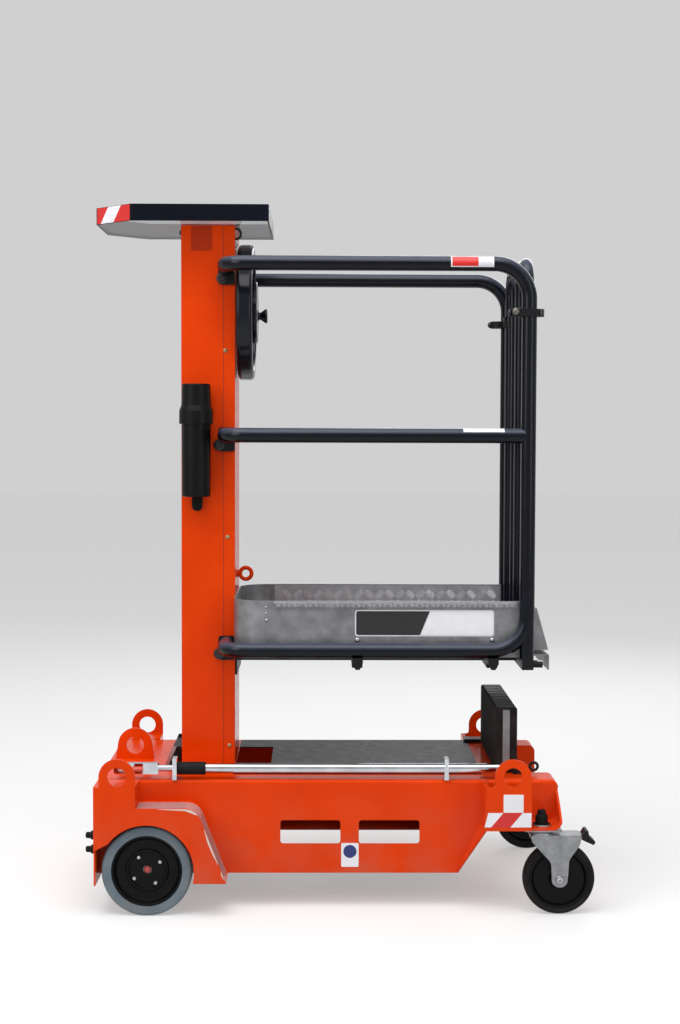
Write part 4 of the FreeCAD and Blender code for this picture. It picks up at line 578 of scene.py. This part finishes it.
CLAMP_BOLT_X = (0.052, 0.4345)
CLAMP_BOLT_RISE = 0.046
CLAMP_BOLT_D = 0.014
CLAMP_BOLT_H = 0.005
# Each row: x, z and diameter of a screw near the rear end of a toe board
OVERLAP_SCREWS = [(-0.2053, 0.806, 0.010), (-0.2062, 0.826, 0.006), (-0.2070, 0.843, 0.006)]
PIN_PLACE = (0.547, -0.25, 0.6895)
PIN_R = 0.0035
PIN_TIP_R = 0.0028
PIN_L = 0.0335
PIN_SHANK_L = 0.032


def add_floor_bolts():
    """Bolts and screws of the toe boards, and a pin that points forward at floor height."""
    bolts = Piece("floor_bolts", "platform", [BOLT_STEEL])
    for s in (RIGHT, LEFT):
        for x in CLAMP_BOLT_X:
            dome_bolt(bolts, (x, s * TOE_Y, FLOOR_Z + CLAMP_BOLT_RISE), (0, s, 0), CLAMP_BOLT_D, CLAMP_BOLT_H)
        for x, z, diameter in OVERLAP_SCREWS:
            dome_bolt(bolts, (x, s * TOE_Y, z), (0, s, 0), diameter, diameter * 0.4)
    bolts.lathe([(0, 0), (PIN_R, 0), (PIN_R, PIN_SHANK_L), (PIN_TIP_R, PIN_L), (0, PIN_L)],
                frame_matrix(PIN_PLACE, (1, 0, 0)), segments=16)
    bolts.finish("zinc")


HUB_BOLT_CIRCLE_R = 0.0425
HUB_BOLT_TURN = 33
HUB_BOLT_ACROSS = 0.010
HUB_BOLT_H = 0.005
HUB_CAP_D = 0.022
HUB_CAP_H = 0.004


def add_hub_fittings():
    """Four bolts on each rear hub and the cap on its axle."""
    for s, side in SIDES:
        bolts = Piece("hub_bolts_" + side, "rear_wheel_" + side, [BOLT_STEEL])
        for quarter in range(4):
            angle = math.radians(HUB_BOLT_TURN + 90 * quarter)
            place = (REAR_AXLE_X + HUB_BOLT_CIRCLE_R * math.cos(angle), s * (TYRE_FACE_Y - HUB_DISH),
                     REAR_AXLE_Z + HUB_BOLT_CIRCLE_R * math.sin(angle))
            hex_bolt(bolts, place, (0, s, 0), HUB_BOLT_ACROSS, HUB_BOLT_H, washer=False)
        bolts.finish("zinc")
        cap = Piece("hub_cap_" + side, "chassis", [CAP_RED])
        dome_bolt(cap, (REAR_AXLE_X, s * HUB_CAP_Y, REAR_AXLE_Z), (0, s, 0), HUB_CAP_D, HUB_CAP_H,
                  socket=False)
        cap.finish("zinc")


# Labels: blank sheets in layers, each layer a little proud of the one below

SHEET = 0.0003
WRAP_STEPS = 10
# Share of the step from layer to layer that a wrapped sheet fills
WRAP_SHARE = 0.9


def decal(name, body, slot, centre, normal, layers):
    """Flat label from layers of outline and material, about its centre."""
    piece = Piece(name, body, [material for outline, material in layers])
    for level, (outline, material) in enumerate(layers):
        matrix = frame_matrix(centre, normal) @ Matrix.Translation((0, 0, level * SHEET))
        piece.slab(outline, matrix, SHEET, level)
    piece.finish(slot)


def rail_label(name, run, z, arc, bands):
    """Label wrapped on the right guard rail over a run of x and an arc in degrees.

    Each band has its shares of the run, its shares of the arc and its material.
    """
    piece = Piece(name, "platform", [material for along, around, material in bands])
    for level, (along, around, material) in enumerate(bands):
        outer = RAIL_R + SHEET * (level + 1)
        first, last = (arc[0] + (arc[1] - arc[0]) * share for share in around)
        ends = [run[0] + (run[1] - run[0]) * share for share in along]
        vertices = []
        for step in range(WRAP_STEPS + 1):
            angle = math.radians(first + (last - first) * step / WRAP_STEPS)
            for x in ends:
                for radius in (outer, outer - SHEET * WRAP_SHARE):
                    vertices.append((x, -RAIL_Y - radius * math.cos(angle), z + radius * math.sin(angle)))
        faces = []
        for i in range(0, WRAP_STEPS * 4, 4):
            faces += [[i, i + 2, i + 6, i + 4], [i + 1, i + 5, i + 7, i + 3],
                      [i, i + 4, i + 5, i + 1], [i + 2, i + 3, i + 7, i + 6]]
        end = WRAP_STEPS * 4
        faces += [[0, 1, 3, 2], [end, end + 2, end + 3, end + 1]]
        piece.add(vertices, faces, None, level)
    piece.finish("rail_paint")


def add_rail_labels():
    rail_label("top_rail_label", (0.308, 0.428), RAIL_TOP_Z, (-30, 62),
               [((0, 1), (0, 1), WHITE_VINYL),
                ((0.03, 0.64), (0.08, 0.92), RED_VINYL),
                ((0.66, 0.97), (0.08, 0.92), PALE_BORDER)])
    rail_label("mid_rail_label", (0.346, 0.461), RAIL_MID_Z, (30, 78),
               [((0, 1), (0, 1), WHITE_VINYL),
                ((0.02, 0.98), (0.12, 0.88), PALE_BORDER)])


TUB_LABEL_PLACE = (0.032, -TUB_SIDE_Y, 0.148)
TUB_LABEL_W = 0.049
TUB_LABEL_H = 0.068
TUB_SIGN_R = 0.0185
TUB_SIGN_RISE = 0.01
LUG_LABEL_PLACE = (0.4805, -PLATE_Y, 0.318)
LUG_LABEL_W = 0.055
LUG_LABEL_H = 0.050
LUG_TAPE_PLACE = (0.4655, -PLATE_Y, 0.272)
LUG_TAPE_W = 0.129
LUG_TAPE_H = 0.040


def add_chassis_labels():
    """Label with a round sign on the tub, a plain one and a striped tape on the front lug."""
    decal("tub_label", "chassis", "orange_paint", TUB_LABEL_PLACE, (0, RIGHT, 0),
          [(rounded(TUB_LABEL_W, TUB_LABEL_H, 0.003), WHITE_VINYL),
           (disc(TUB_SIGN_R, TUB_SIGN_RISE), BLUE_VINYL)])
    decal("lug_label", "chassis", "orange_paint", LUG_LABEL_PLACE, (0, RIGHT, 0),
          [(rounded(LUG_LABEL_W, LUG_LABEL_H, 0.002), WHITE_VINYL)])
    decal("lug_tape", "chassis", "orange_paint", LUG_TAPE_PLACE, (0, RIGHT, 0),
          [(slanted(LUG_TAPE_W, LUG_TAPE_H, 0.039, 1, 0.25), WHITE_VINYL),
           (slanted(LUG_TAPE_W, LUG_TAPE_H, 0.27, 0.68, 0.85), RED_VINYL)])


TRAY_TAPE_END = 0.004
TRAY_TAPE_EDGE = 0.001
TRAY_TAPE_L = TRAY_CHAMFER * math.sqrt(2) - 2 * TRAY_TAPE_END
TRAY_TAPE_H = TRAY_HIGH[2] - TRAY_LOW[2] - 2 * TRAY_TAPE_EDGE
TOE_PLATE_PLACE = (0.2423, -TOE_Y, 0.7985)
TOE_PLATE_W = 0.3945
TOE_PLATE_H = 0.075
TOE_PLATE_BORDER = 0.007
# A slanted line parts the plate's tones: its lean, and where the dark ends and the pale starts
TOE_PLATE_LEAN = 0.41
TOE_PLATE_DARK_END = 0.001
TOE_PLATE_PALE_START = 0.004


def add_platform_labels():
    """Striped tape on the tray's chamfer and a two-tone plate on the near toe board."""
    middle = (TRAY_LOW[0] + TRAY_CHAMFER / 2, TRAY_LOW[1] + TRAY_CHAMFER / 2,
              (TRAY_LOW[2] + TRAY_HIGH[2]) / 2)
    decal("tray_tape", "platform", "gloss_plastic", middle, (-1, -1, 0),
          [(slanted(TRAY_TAPE_L, TRAY_TAPE_H, 0, 1, 0), RED_VINYL),
           (slanted(TRAY_TAPE_L, TRAY_TAPE_H, 0.23, 0.62, 0.75), WHITE_VINYL)])
    inner = rounded(TOE_PLATE_W - TOE_PLATE_BORDER, TOE_PLATE_H - TOE_PLATE_BORDER, 0.006)
    decal("toe_board_plate", "platform", "gloss_plastic", TOE_PLATE_PLACE, (0, RIGHT, 0),
          [(rounded(TOE_PLATE_W, TOE_PLATE_H, 0.008), PALE_BORDER),
           (cut_line(inner, 1, -TOE_PLATE_LEAN, TOE_PLATE_DARK_END), BLACK_VINYL),
           (cut_line(inner, -1, TOE_PLATE_LEAN, -TOE_PLATE_PALE_START), WHITE_VINYL)])


# Clear film over the edge of the near wheel cover; its pale tone is a painted glare

COVER_SHOULDER = Vector((-0.393, 0.302))
COVER_TOE = Vector((-0.311, 0.094))
COVER_DOWN = (COVER_TOE - COVER_SHOULDER).normalized()
SHOULDER_R = 0.045
SHOULDER_STEPS = 12
FILM_Y = (-0.411, -0.333)
FILM_BACK_X = -0.558
FILM_SLOPE_L = 0.21
FILM_T = 0.0004
GLARE_BACK_X = -0.5
# Widths of the sliver along the edge, from the cover's top round its shoulder
GLARE_WIDTHS = [0.0008, 0.005, 0.006, 0.0068, 0.0073, 0.0075, 0.0073, 0.0066, 0.0053, 0.0034, 0.001]
# Each row: way down the slope and width of the sliver there
SLOPE_GLARES = [[(0.03, 0.0008), (0.065, 0.0052), (0.105, 0.0046), (0.135, 0.0008)],
                [(0.155, 0.0008), (0.168, 0.0035), (0.182, 0.0008)]]


def shoulder_path(back_x):
    """Points and outward directions over the cover: its top, the round shoulder and the slope."""
    turn = math.acos(COVER_DOWN.x)
    tangent = SHOULDER_R * math.tan(turn / 2)
    centre = COVER_SHOULDER + Vector((-tangent, -SHOULDER_R))
    path = [(Vector((back_x, COVER_SHOULDER.y)), Vector((0, 1)))]
    for step in range(SHOULDER_STEPS + 1):
        angle = turn * step / SHOULDER_STEPS
        outward = Vector((math.sin(angle), math.cos(angle)))
        path.append((centre + outward * SHOULDER_R, outward))
    path.append((COVER_SHOULDER + COVER_DOWN * FILM_SLOPE_L, path[-1][1]))
    return path


def edge_glare(piece, path, widths):
    """Bright sliver on the cover's outer face, just below the edge."""
    sections = []
    for (point, outward), width in zip(path, widths):
        low = point - outward * width
        sections.append([(point.x, -PLATE_Y, point.y), (low.x, -PLATE_Y, low.y),
                         (low.x, -PLATE_Y - FILM_T, low.y), (point.x, -PLATE_Y - FILM_T, point.y)])
    piece.loft(sections, index=1)


def add_cover_film():
    film = Piece("cover_film", "chassis", [FILM_WITH_PAINTED_GLARE, FILM_GLARE])
    path = shoulder_path(FILM_BACK_X)
    near, far = FILM_Y
    sections = []
    for point, outward in path:
        high = point + outward * FILM_T
        sections.append([(point.x, near, point.y), (point.x, far, point.y),
                         (high.x, far, high.y), (high.x, near, high.y)])
    film.loft(sections)
    edge_glare(film, shoulder_path(GLARE_BACK_X), GLARE_WIDTHS)
    slope_start, slope_out = path[-2]
    for run in SLOPE_GLARES:
        edge_glare(film, [(slope_start + COVER_DOWN * along, slope_out) for along, width in run],
                   [width for along, width in run])
    film.finish("orange_paint")


# Column fittings

HOOK_Y = -0.095
HOOK_POINTS = [(-0.301, 1.925), (-0.291, 1.924), (-0.2855, 1.914), (-0.2865, 1.902), (-0.293, 1.896),
               (-0.301, 1.895)]
HOOK_R = 0.0038
HOOK_PLATE_W = 0.026
HOOK_PLATE_H = 0.018
HOOK_PLATE_T = 0.0035
HOOK_PLATE_Z = 1.880
HOOK_BOLT_D = 0.010
HOOK_BOLT_H = 0.004


def add_column_hook():
    """Small hook on the column's front face with a bolted plate below it."""
    hook = Piece("column_hook", "platform", [BOLT_BLACK, BOLT_STEEL])
    hook.bar([(x, HOOK_Y, z) for x, z in HOOK_POINTS], HOOK_R)
    hook.slab(rounded(HOOK_PLATE_W, HOOK_PLATE_H, 0.003),
              frame_matrix((COLUMN_FRONT_X, HOOK_Y, HOOK_PLATE_Z), (1, 0, 0)), HOOK_PLATE_T, 1)
    dome_bolt(hook, (COLUMN_FRONT_X + HOOK_PLATE_T, HOOK_Y, HOOK_PLATE_Z), (1, 0, 0),
              HOOK_BOLT_D, HOOK_BOLT_H, index=1)
    hook.finish("black_paint")


SEAM_Z = (0.370, 1.928)
SEAM_W = 0.0016
SEAM_T = 0.0003


def add_column_seams():
    seams = Piece("column_seams", "platform", [SEAM_SHADOW])
    for s in (RIGHT, LEFT):
        seams.side_sheet((SEAM_X - SEAM_W / 2, SEAM_X + SEAM_W / 2), SEAM_Z, s * COLUMN_SIDE_Y, s, SEAM_T,
                         radius=0.0004, steps=1)
    seams.finish("orange_paint")


COLUMN_FILM_PLACE = (-0.397, -COLUMN_SIDE_Y, 1.894)
COLUMN_FILM_W = 0.0605
COLUMN_FILM_H = 0.071


def add_column_film():
    decal("column_film", "platform", "orange_paint", COLUMN_FILM_PLACE, (0, RIGHT, 0),
          [(rounded(COLUMN_FILM_W, COLUMN_FILM_H, 0.002), THIN_FILM)])


# Outline of a bright strip on the foot's slope, a metal edge whose brightness is partly a painted sky
# reflection
FOOT_EDGE_AND_SHEEN = [(-0.5075, 0.362), (-0.4965, 0.362), (-0.4725, 0.417), (-0.4835, 0.417)]
FOOT_EDGE_AND_SHEEN_T = 0.0006


def add_foot_edges_and_sheen():
    """Bright steel strips along the slope on the two sides of the mast's foot: partly metal edges, partly a
    painted reflection of the sky.
    """
    edge_and_sheen = Piece("foot_edges_and_sheen", "chassis", [BOLT_STEEL])
    for s in (RIGHT, LEFT):
        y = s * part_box("mast_foot")[1][1]
        edge_and_sheen.loft([[(x, y, z) for x, z in FOOT_EDGE_AND_SHEEN], [(x, y + s * FOOT_EDGE_AND_SHEEN_T, z) for x, z in FOOT_EDGE_AND_SHEEN]])
    edge_and_sheen.finish("zinc")


# Rail, step and castor fittings

BAND_Y = (0.2565, 0.3065)
BAND_END_X = 0.477
BAND_MID_Z = 1.6725
POST_BOLT_X = 0.489
POST_BOLT_RISE = 0.003
POST_BOLT_D = 0.021
POST_BOLT_H = 0.007
HINGE_BOLT_X = 0.560
HINGE_BOLT_RISE = 0.0035
HINGE_BOLT_D = 0.011
HINGE_BOLT_H = 0.005
END_BOLT_D = 0.0205
END_BOLT_H = 0.009


def add_band_bolts():
    """Bolts of the bands that clamp the front posts to the upper rails."""
    clamps = Piece("band_bolts", "platform", [CLAMP_BRONZE, BOLT_BLACK])
    for s in (RIGHT, LEFT):
        side_y = s * BAND_Y[1]
        dome_bolt(clamps, (POST_BOLT_X, side_y, BAND_MID_Z + POST_BOLT_RISE), (0, s, 0),
                  POST_BOLT_D, POST_BOLT_H, socket=False)
        for rise in (-HINGE_BOLT_RISE, HINGE_BOLT_RISE):
            dome_bolt(clamps, (HINGE_BOLT_X, side_y, BAND_MID_Z + rise), (0, s, 0),
                      HINGE_BOLT_D, HINGE_BOLT_H, index=1, socket=False)
        dome_bolt(clamps, (BAND_END_X, s * sum(BAND_Y) / 2, BAND_MID_Z), (-1, 0, 0),
                  END_BOLT_D, END_BOLT_H, index=1, socket=False)
    clamps.finish("black_paint")


STEP_MID_X = sum(corner[0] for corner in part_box("step_trim")) / 2
STEP_TOP_DEPTH = 0.0515
RIB_COUNT = 9
RIB_W = 0.039
RIB_RISE = 0.0014
RIB_SOFT_R = 0.0005
RIB_PITCH = (STEP_HIGH[1] - STEP_LOW[1]) / RIB_COUNT


def add_step_ribs():
    ribs = Piece("step_ribs", "step", [RIB_RUBBER])
    outline = rounded(RIB_W, STEP_TOP_DEPTH, 0.003, 3)
    for row in range(RIB_COUNT):
        middle = (STEP_MID_X, STEP_LOW[1] + (row + 0.5) * RIB_PITCH, STEP_HIGH[2])
        ribs.slab(outline, frame_matrix(middle, (0, 0, 1), (1, 0, 0)), RIB_RISE)
    ribs.finish("wheel_plastic", bevel=RIB_SOFT_R)


WASHER_INNER_R = 0.0242
WASHER_OUTER_R = 0.0275
WASHER_RIM_H = 0.0035
WASHER_H = 0.0042
CASTOR_BOLT_D = 0.025
CASTOR_BOLT_H = 0.0075


def add_castor_fittings():
    """Washer under each castor cap and bolt heads on the fork's legs."""
    for s, side in SIDES:
        low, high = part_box("castor_cap_" + side)
        washer = Piece("cap_washer_" + side, "chassis", [BOLT_STEEL])
        washer.lathe([(WASHER_INNER_R, 0.0), (WASHER_OUTER_R, 0.0), (WASHER_OUTER_R, WASHER_RIM_H),
                      (WASHER_INNER_R, WASHER_H), (WASHER_INNER_R, 0.0)],
                     frame_matrix(((low[0] + high[0]) / 2, (low[1] + high[1]) / 2, low[2]), (0, 0, 1)),
                     segments=32)
        washer.finish("zinc")
        axle = Piece("castor_bolt_" + side, "castor_" + side, [BOLT_STEEL])
        for out in (-1, 1):
            place = (CASTOR_AXLE_X, s * CASTOR_Y + out * CASTOR_LEG_Y, CASTOR_AXLE_Z)
            dome_bolt(axle, place, (0, out, 0), CASTOR_BOLT_D, CASTOR_BOLT_H)
        axle.finish("zinc")


# Tread plate: groups of five raised bars, turned a quarter from cell to cell

TREAD_PITCH = 0.032
BAR_L = 0.027
BAR_W = 0.0027
BAR_GAP = 0.0060
BAR_RISE = 0.0009
BAR_SHORTER = 0.12
BAR_FACES = [(0, 1, 6), (1, 2, 7, 6), (2, 3, 7), (3, 4, 7), (4, 5, 6, 7), (5, 0, 6), (5, 4, 3, 2, 1, 0)]


def tread_bars(piece, origin, along, across, length, width, normal, pitch=TREAD_PITCH):
    """Bars over a field that starts at the origin; their sizes follow the pitch."""
    u = Vector(along).normalized()
    v = Vector(across).normalized()
    lift = Vector(normal).normalized() * BAR_RISE
    start = Vector(origin)
    bar_l = BAR_L * pitch / TREAD_PITCH
    bar_w = BAR_W * pitch / TREAD_PITCH
    gap = BAR_GAP * pitch / TREAD_PITCH
    columns = int(length / pitch)
    rows = max(1, int(width / pitch))
    margin_u = (length - columns * pitch) / 2
    margin_v = (width - rows * pitch) / 2
    for i in range(columns):
        for j in range(rows):
            centre = start + u * (margin_u + (i + 0.5) * pitch) + v * (margin_v + (j + 0.5) * pitch)
            turn = math.radians(45 if (i + j) % 2 else -45)
            lengthways = u * math.cos(turn) + v * math.sin(turn)
            sideways = v * math.cos(turn) - u * math.sin(turn)
            for k in range(-2, 3):
                c = centre + sideways * (k * gap)
                half = bar_l / 2 * (1.0 - BAR_SHORTER * abs(k))
                tip = lengthways * half
                waist = lengthways * half * 0.5
                flank = sideways * bar_w / 2
                points = [c - tip, c - waist - flank, c + waist - flank, c + tip,
                          c + waist + flank, c - waist + flank, c - waist + lift, c + waist + lift]
                piece.add(points, BAR_FACES)


FLOOR_TREAD_BACK = 0.01
FLOOR_TREAD_MARGIN = 0.006


def add_floor_tread():
    bars = Piece("floor_tread", "platform", [TREAD_BAR])
    tread_bars(bars, (TOE_LOW[0] + FLOOR_TREAD_BACK, -TOE_Y + FLOOR_TREAD_MARGIN, FLOOR_Z),
               (1, 0, 0), (0, 1, 0), TOE_HIGH[0] - TOE_LOW[0] - FLOOR_TREAD_BACK,
               2 * (TOE_Y - FLOOR_TREAD_MARGIN), (0, 0, 1))
    bars.finish("tread_aluminium")


BOARD_TREAD_BACK = 0.12
BOARD_TREAD_FRONT = 0.005
BOARD_TREAD_LOW = 0.006
BOARD_TREAD_TOP = 0.008
FOLD_TREAD_X = -0.18
FOLD_TREAD_L = 0.68
FOLD_TREAD_H = 0.014
FOLD_TREAD_DROP = 0.017
FOLD_PITCH = 0.015


def add_toe_board_tread():
    """Large bars on the boards' inner faces and small ones on the fold outside."""
    bars = Piece("toe_board_tread", "platform", [TREAD_BAR])
    for s in (RIGHT, LEFT):
        tread_bars(bars, (TOE_LOW[0] + BOARD_TREAD_BACK, s * (TOE_Y - TOE_T), FLOOR_Z + BOARD_TREAD_LOW),
                   (1, 0, 0), (0, 0, 1), TOE_HIGH[0] - TOE_LOW[0] - BOARD_TREAD_BACK - BOARD_TREAD_FRONT,
                   TOE_HIGH[2] - FLOOR_Z - BOARD_TREAD_LOW - BOARD_TREAD_TOP, (0, -s, 0))
        tread_bars(bars, (FOLD_TREAD_X, s * TOE_HIGH[1], TOE_HIGH[2] - FOLD_TREAD_DROP), (1, 0, 0), (0, 0, 1),
                   FOLD_TREAD_L, FOLD_TREAD_H, (0, s, 0), FOLD_PITCH)
    bars.finish("tread_aluminium")


LINER_BACK = 0.105
LINER_FRONT = 0.004
LINER_LOW = 0.001
LINER_TOP = 0.003
LINER_RUN = (TOE_LOW[0] + LINER_BACK, TOE_HIGH[0] - LINER_FRONT)
LINER_Z = (FLOOR_Z + LINER_LOW, TOE_HIGH[2] - LINER_TOP)
LINER_T = 0.0002
# Painted highlight: a bright strip along each board's folded top edge, standing for light on its rounded lip
EDGE_RUN = (-0.185, 0.498)
EDGE_DROP = 0.0008
EDGE_H = 0.0065
EDGE_Z = (TOE_HIGH[2] - EDGE_DROP - EDGE_H, TOE_HIGH[2] - EDGE_DROP)
EDGE_T = 0.0006


def add_toe_board_sheets():
    """Painted light on the toe boards' inner faces and painted highlights along their folded top edges."""
    liners = Piece("toe_board_liners", "platform", [PAINTED_LIGHT_PLATE])
    for s in (RIGHT, LEFT):
        liners.side_sheet(LINER_RUN, LINER_Z, s * (TOE_Y - TOE_T), -s, LINER_T, radius=0.004, steps=3)
    liners.finish("tread_aluminium")
    edge_highlights = Piece("toe_board_edge_highlights", "platform", [BOLT_STEEL])
    for s in (RIGHT, LEFT):
        edge_highlights.side_sheet(EDGE_RUN, EDGE_Z, s * TOE_HIGH[1], s, EDGE_T, radius=0.002, steps=2)
    edge_highlights.finish("tread_aluminium")


KICK_MARGIN = 0.004
KICK_HEAD_X = 0.566


def add_kick_plate_tread():
    """Bars on the front faces of the gate's kick plates, whose feet stand further forward."""
    for s, side in SIDES:
        low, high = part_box("kick_plate_" + side)
        foot = Vector((high[0], low[1] + KICK_MARGIN, low[2]))
        head = Vector((KICK_HEAD_X, low[1] + KICK_MARGIN, high[2]))
        up = head - foot
        face = (up.z, 0, -up.x)
        bars = Piece("kick_plate_tread_" + side, "gate_" + side, [TREAD_BAR])
        tread_bars(bars, foot + up.normalized() * KICK_MARGIN, (0, 1, 0), up,
                   high[1] - low[1] - 2 * KICK_MARGIN, up.length - 2 * KICK_MARGIN, face)
        bars.finish("tread_aluminium")


# Lights, floor and camera

STUDIO_FLOOR_COLOUR = (0.55, 0.55, 0.55)
STUDIO_FLOOR_HALF = 30.0
STUDIO_FLOOR_LIFT = 0.35
SKY_COLOUR = (0.88, 0.89, 0.9)
SKY_STRENGTH = 0.5
BACKDROP_COLOUR = (0.63, 0.63, 0.635)
# Each row: name, place, target, size and power
LAMPS = [("overhead", (-0.6, -1.4, 4.6), (0, 0, 0.9), (4.5, 3.5), 190),
         ("front_left", (-3.6, -3.6, 2.8), (0, 0, 0.9), (2.5, 3.0), 70),
         ("front_right", (3.4, -3.8, 2.2), (0, 0, 0.8), (2.0, 3.0), 38),
         ("back_rim", (1.5, 4.2, 3.4), (0, 0, 1.0), (3.0, 2.0), 60)]


def area_light(name, place, target, size, power):
    data = bpy.data.lights.new(name, "AREA")
    data.shape = "RECTANGLE"
    data.size = size[0]
    data.size_y = size[1]
    data.energy = power
    lamp = bpy.data.objects.new(name, data)
    bpy.context.scene.collection.objects.link(lamp)
    lamp.location = place
    lamp.rotation_euler = (Vector(target) - Vector(place)).to_track_quat("-Z", "Y").to_euler()


def shown_ray(tree):
    """1 for rays that show the backdrop: straight from the camera, mirrored or let through."""
    path = tree.nodes.new("ShaderNodeLightPath")
    total = path.outputs["Is Camera Ray"]
    for name in ("Is Glossy Ray", "Is Transmission Ray"):
        total = calculated(tree, "MAXIMUM", total, path.outputs[name])
    return total


def add_stage():
    """Pale floor that keeps the shadow and is lifted to near white where it is looked at."""
    ground = bmesh.new()
    corners = []
    for x, y in ((-1, -1), (1, -1), (1, 1), (-1, 1)):
        corners.append(ground.verts.new((x * STUDIO_FLOOR_HALF, y * STUDIO_FLOOR_HALF, 0)))
    ground.faces.new(corners)
    data = bpy.data.meshes.new("studio_floor")
    ground.to_mesh(data)
    ground.free()
    material = bpy.data.materials.new("studio_floor")
    material.use_nodes = True
    tree = material.node_tree
    shader = shader_of(material)
    shader.inputs["Base Color"].default_value = STUDIO_FLOOR_COLOUR + (1.0,)
    shader.inputs["Roughness"].default_value = 0.9
    shader.inputs["Specular IOR Level"].default_value = 0.2
    shader.inputs["Emission Color"].default_value = (1.0, 1.0, 1.0, 1.0)
    lift = calculated(tree, "MULTIPLY", shown_ray(tree), STUDIO_FLOOR_LIFT)
    tree.links.new(lift, shader.inputs["Emission Strength"])
    data.materials.append(material)
    studio = bpy.data.objects.new("studio_floor", data)
    bpy.context.scene.collection.objects.link(studio)


def add_world():
    """Even sky for the light, pale backdrop for what is looked at."""
    world = bpy.data.worlds.new("studio")
    bpy.context.scene.world = world
    world.use_nodes = True
    tree = world.node_tree
    sky = tree.nodes["Background"]
    sky.inputs["Color"].default_value = SKY_COLOUR + (1.0,)
    sky.inputs["Strength"].default_value = SKY_STRENGTH
    backdrop = tree.nodes.new("ShaderNodeBackground")
    backdrop.inputs["Color"].default_value = BACKDROP_COLOUR + (1.0,)
    mix = tree.nodes.new("ShaderNodeMixShader")
    tree.links.new(shown_ray(tree), mix.inputs["Fac"])
    tree.links.new(sky.outputs["Background"], mix.inputs[1])
    tree.links.new(backdrop.outputs["Background"], mix.inputs[2])
    tree.links.new(mix.outputs["Shader"], tree.nodes["World Output"].inputs["Surface"])


def add_camera():
    data = bpy.data.cameras.new("photo_camera")
    data.sensor_fit = "AUTO"
    data.sensor_width = SENSOR_MM
    data.lens = CAMERA_FOCAL_PX * SENSOR_MM / FRAME_LONG_PX
    camera = bpy.data.objects.new("photo_camera", data)
    bpy.context.scene.collection.objects.link(camera)
    forward = Vector((math.sin(CAMERA_YAW) * math.cos(CAMERA_PITCH),
                      math.cos(CAMERA_YAW) * math.cos(CAMERA_PITCH), math.sin(CAMERA_PITCH)))
    right = Vector((math.cos(CAMERA_YAW), -math.sin(CAMERA_YAW), 0))
    up = right.cross(forward)
    level_right = right * math.cos(CAMERA_ROLL) + up * math.sin(CAMERA_ROLL)
    level_up = up * math.cos(CAMERA_ROLL) - right * math.sin(CAMERA_ROLL)
    matrix = Matrix((level_right, level_up, -forward)).transposed().to_4x4()
    matrix.translation = Vector(CAMERA_PLACE)
    camera.matrix_world = matrix
    bpy.context.scene.camera = camera


dress_parts()
add_column_screws()
add_rail_root_bolts()
add_floor_bolts()
add_hub_fittings()
add_rail_labels()
add_chassis_labels()
add_platform_labels()
add_cover_film()
add_column_hook()
add_column_seams()
add_column_film()
add_foot_edges_and_sheen()
add_band_bolts()
add_step_ribs()
add_castor_fittings()
add_floor_tread()
add_toe_board_tread()
add_toe_board_sheets()
add_kick_plate_tread()
add_stage()
add_world()
for name, place, target, size, power in LAMPS:
    area_light(name, place, target, size, power)
add_camera()
bpy.context.scene.view_settings.view_transform = "Standard"
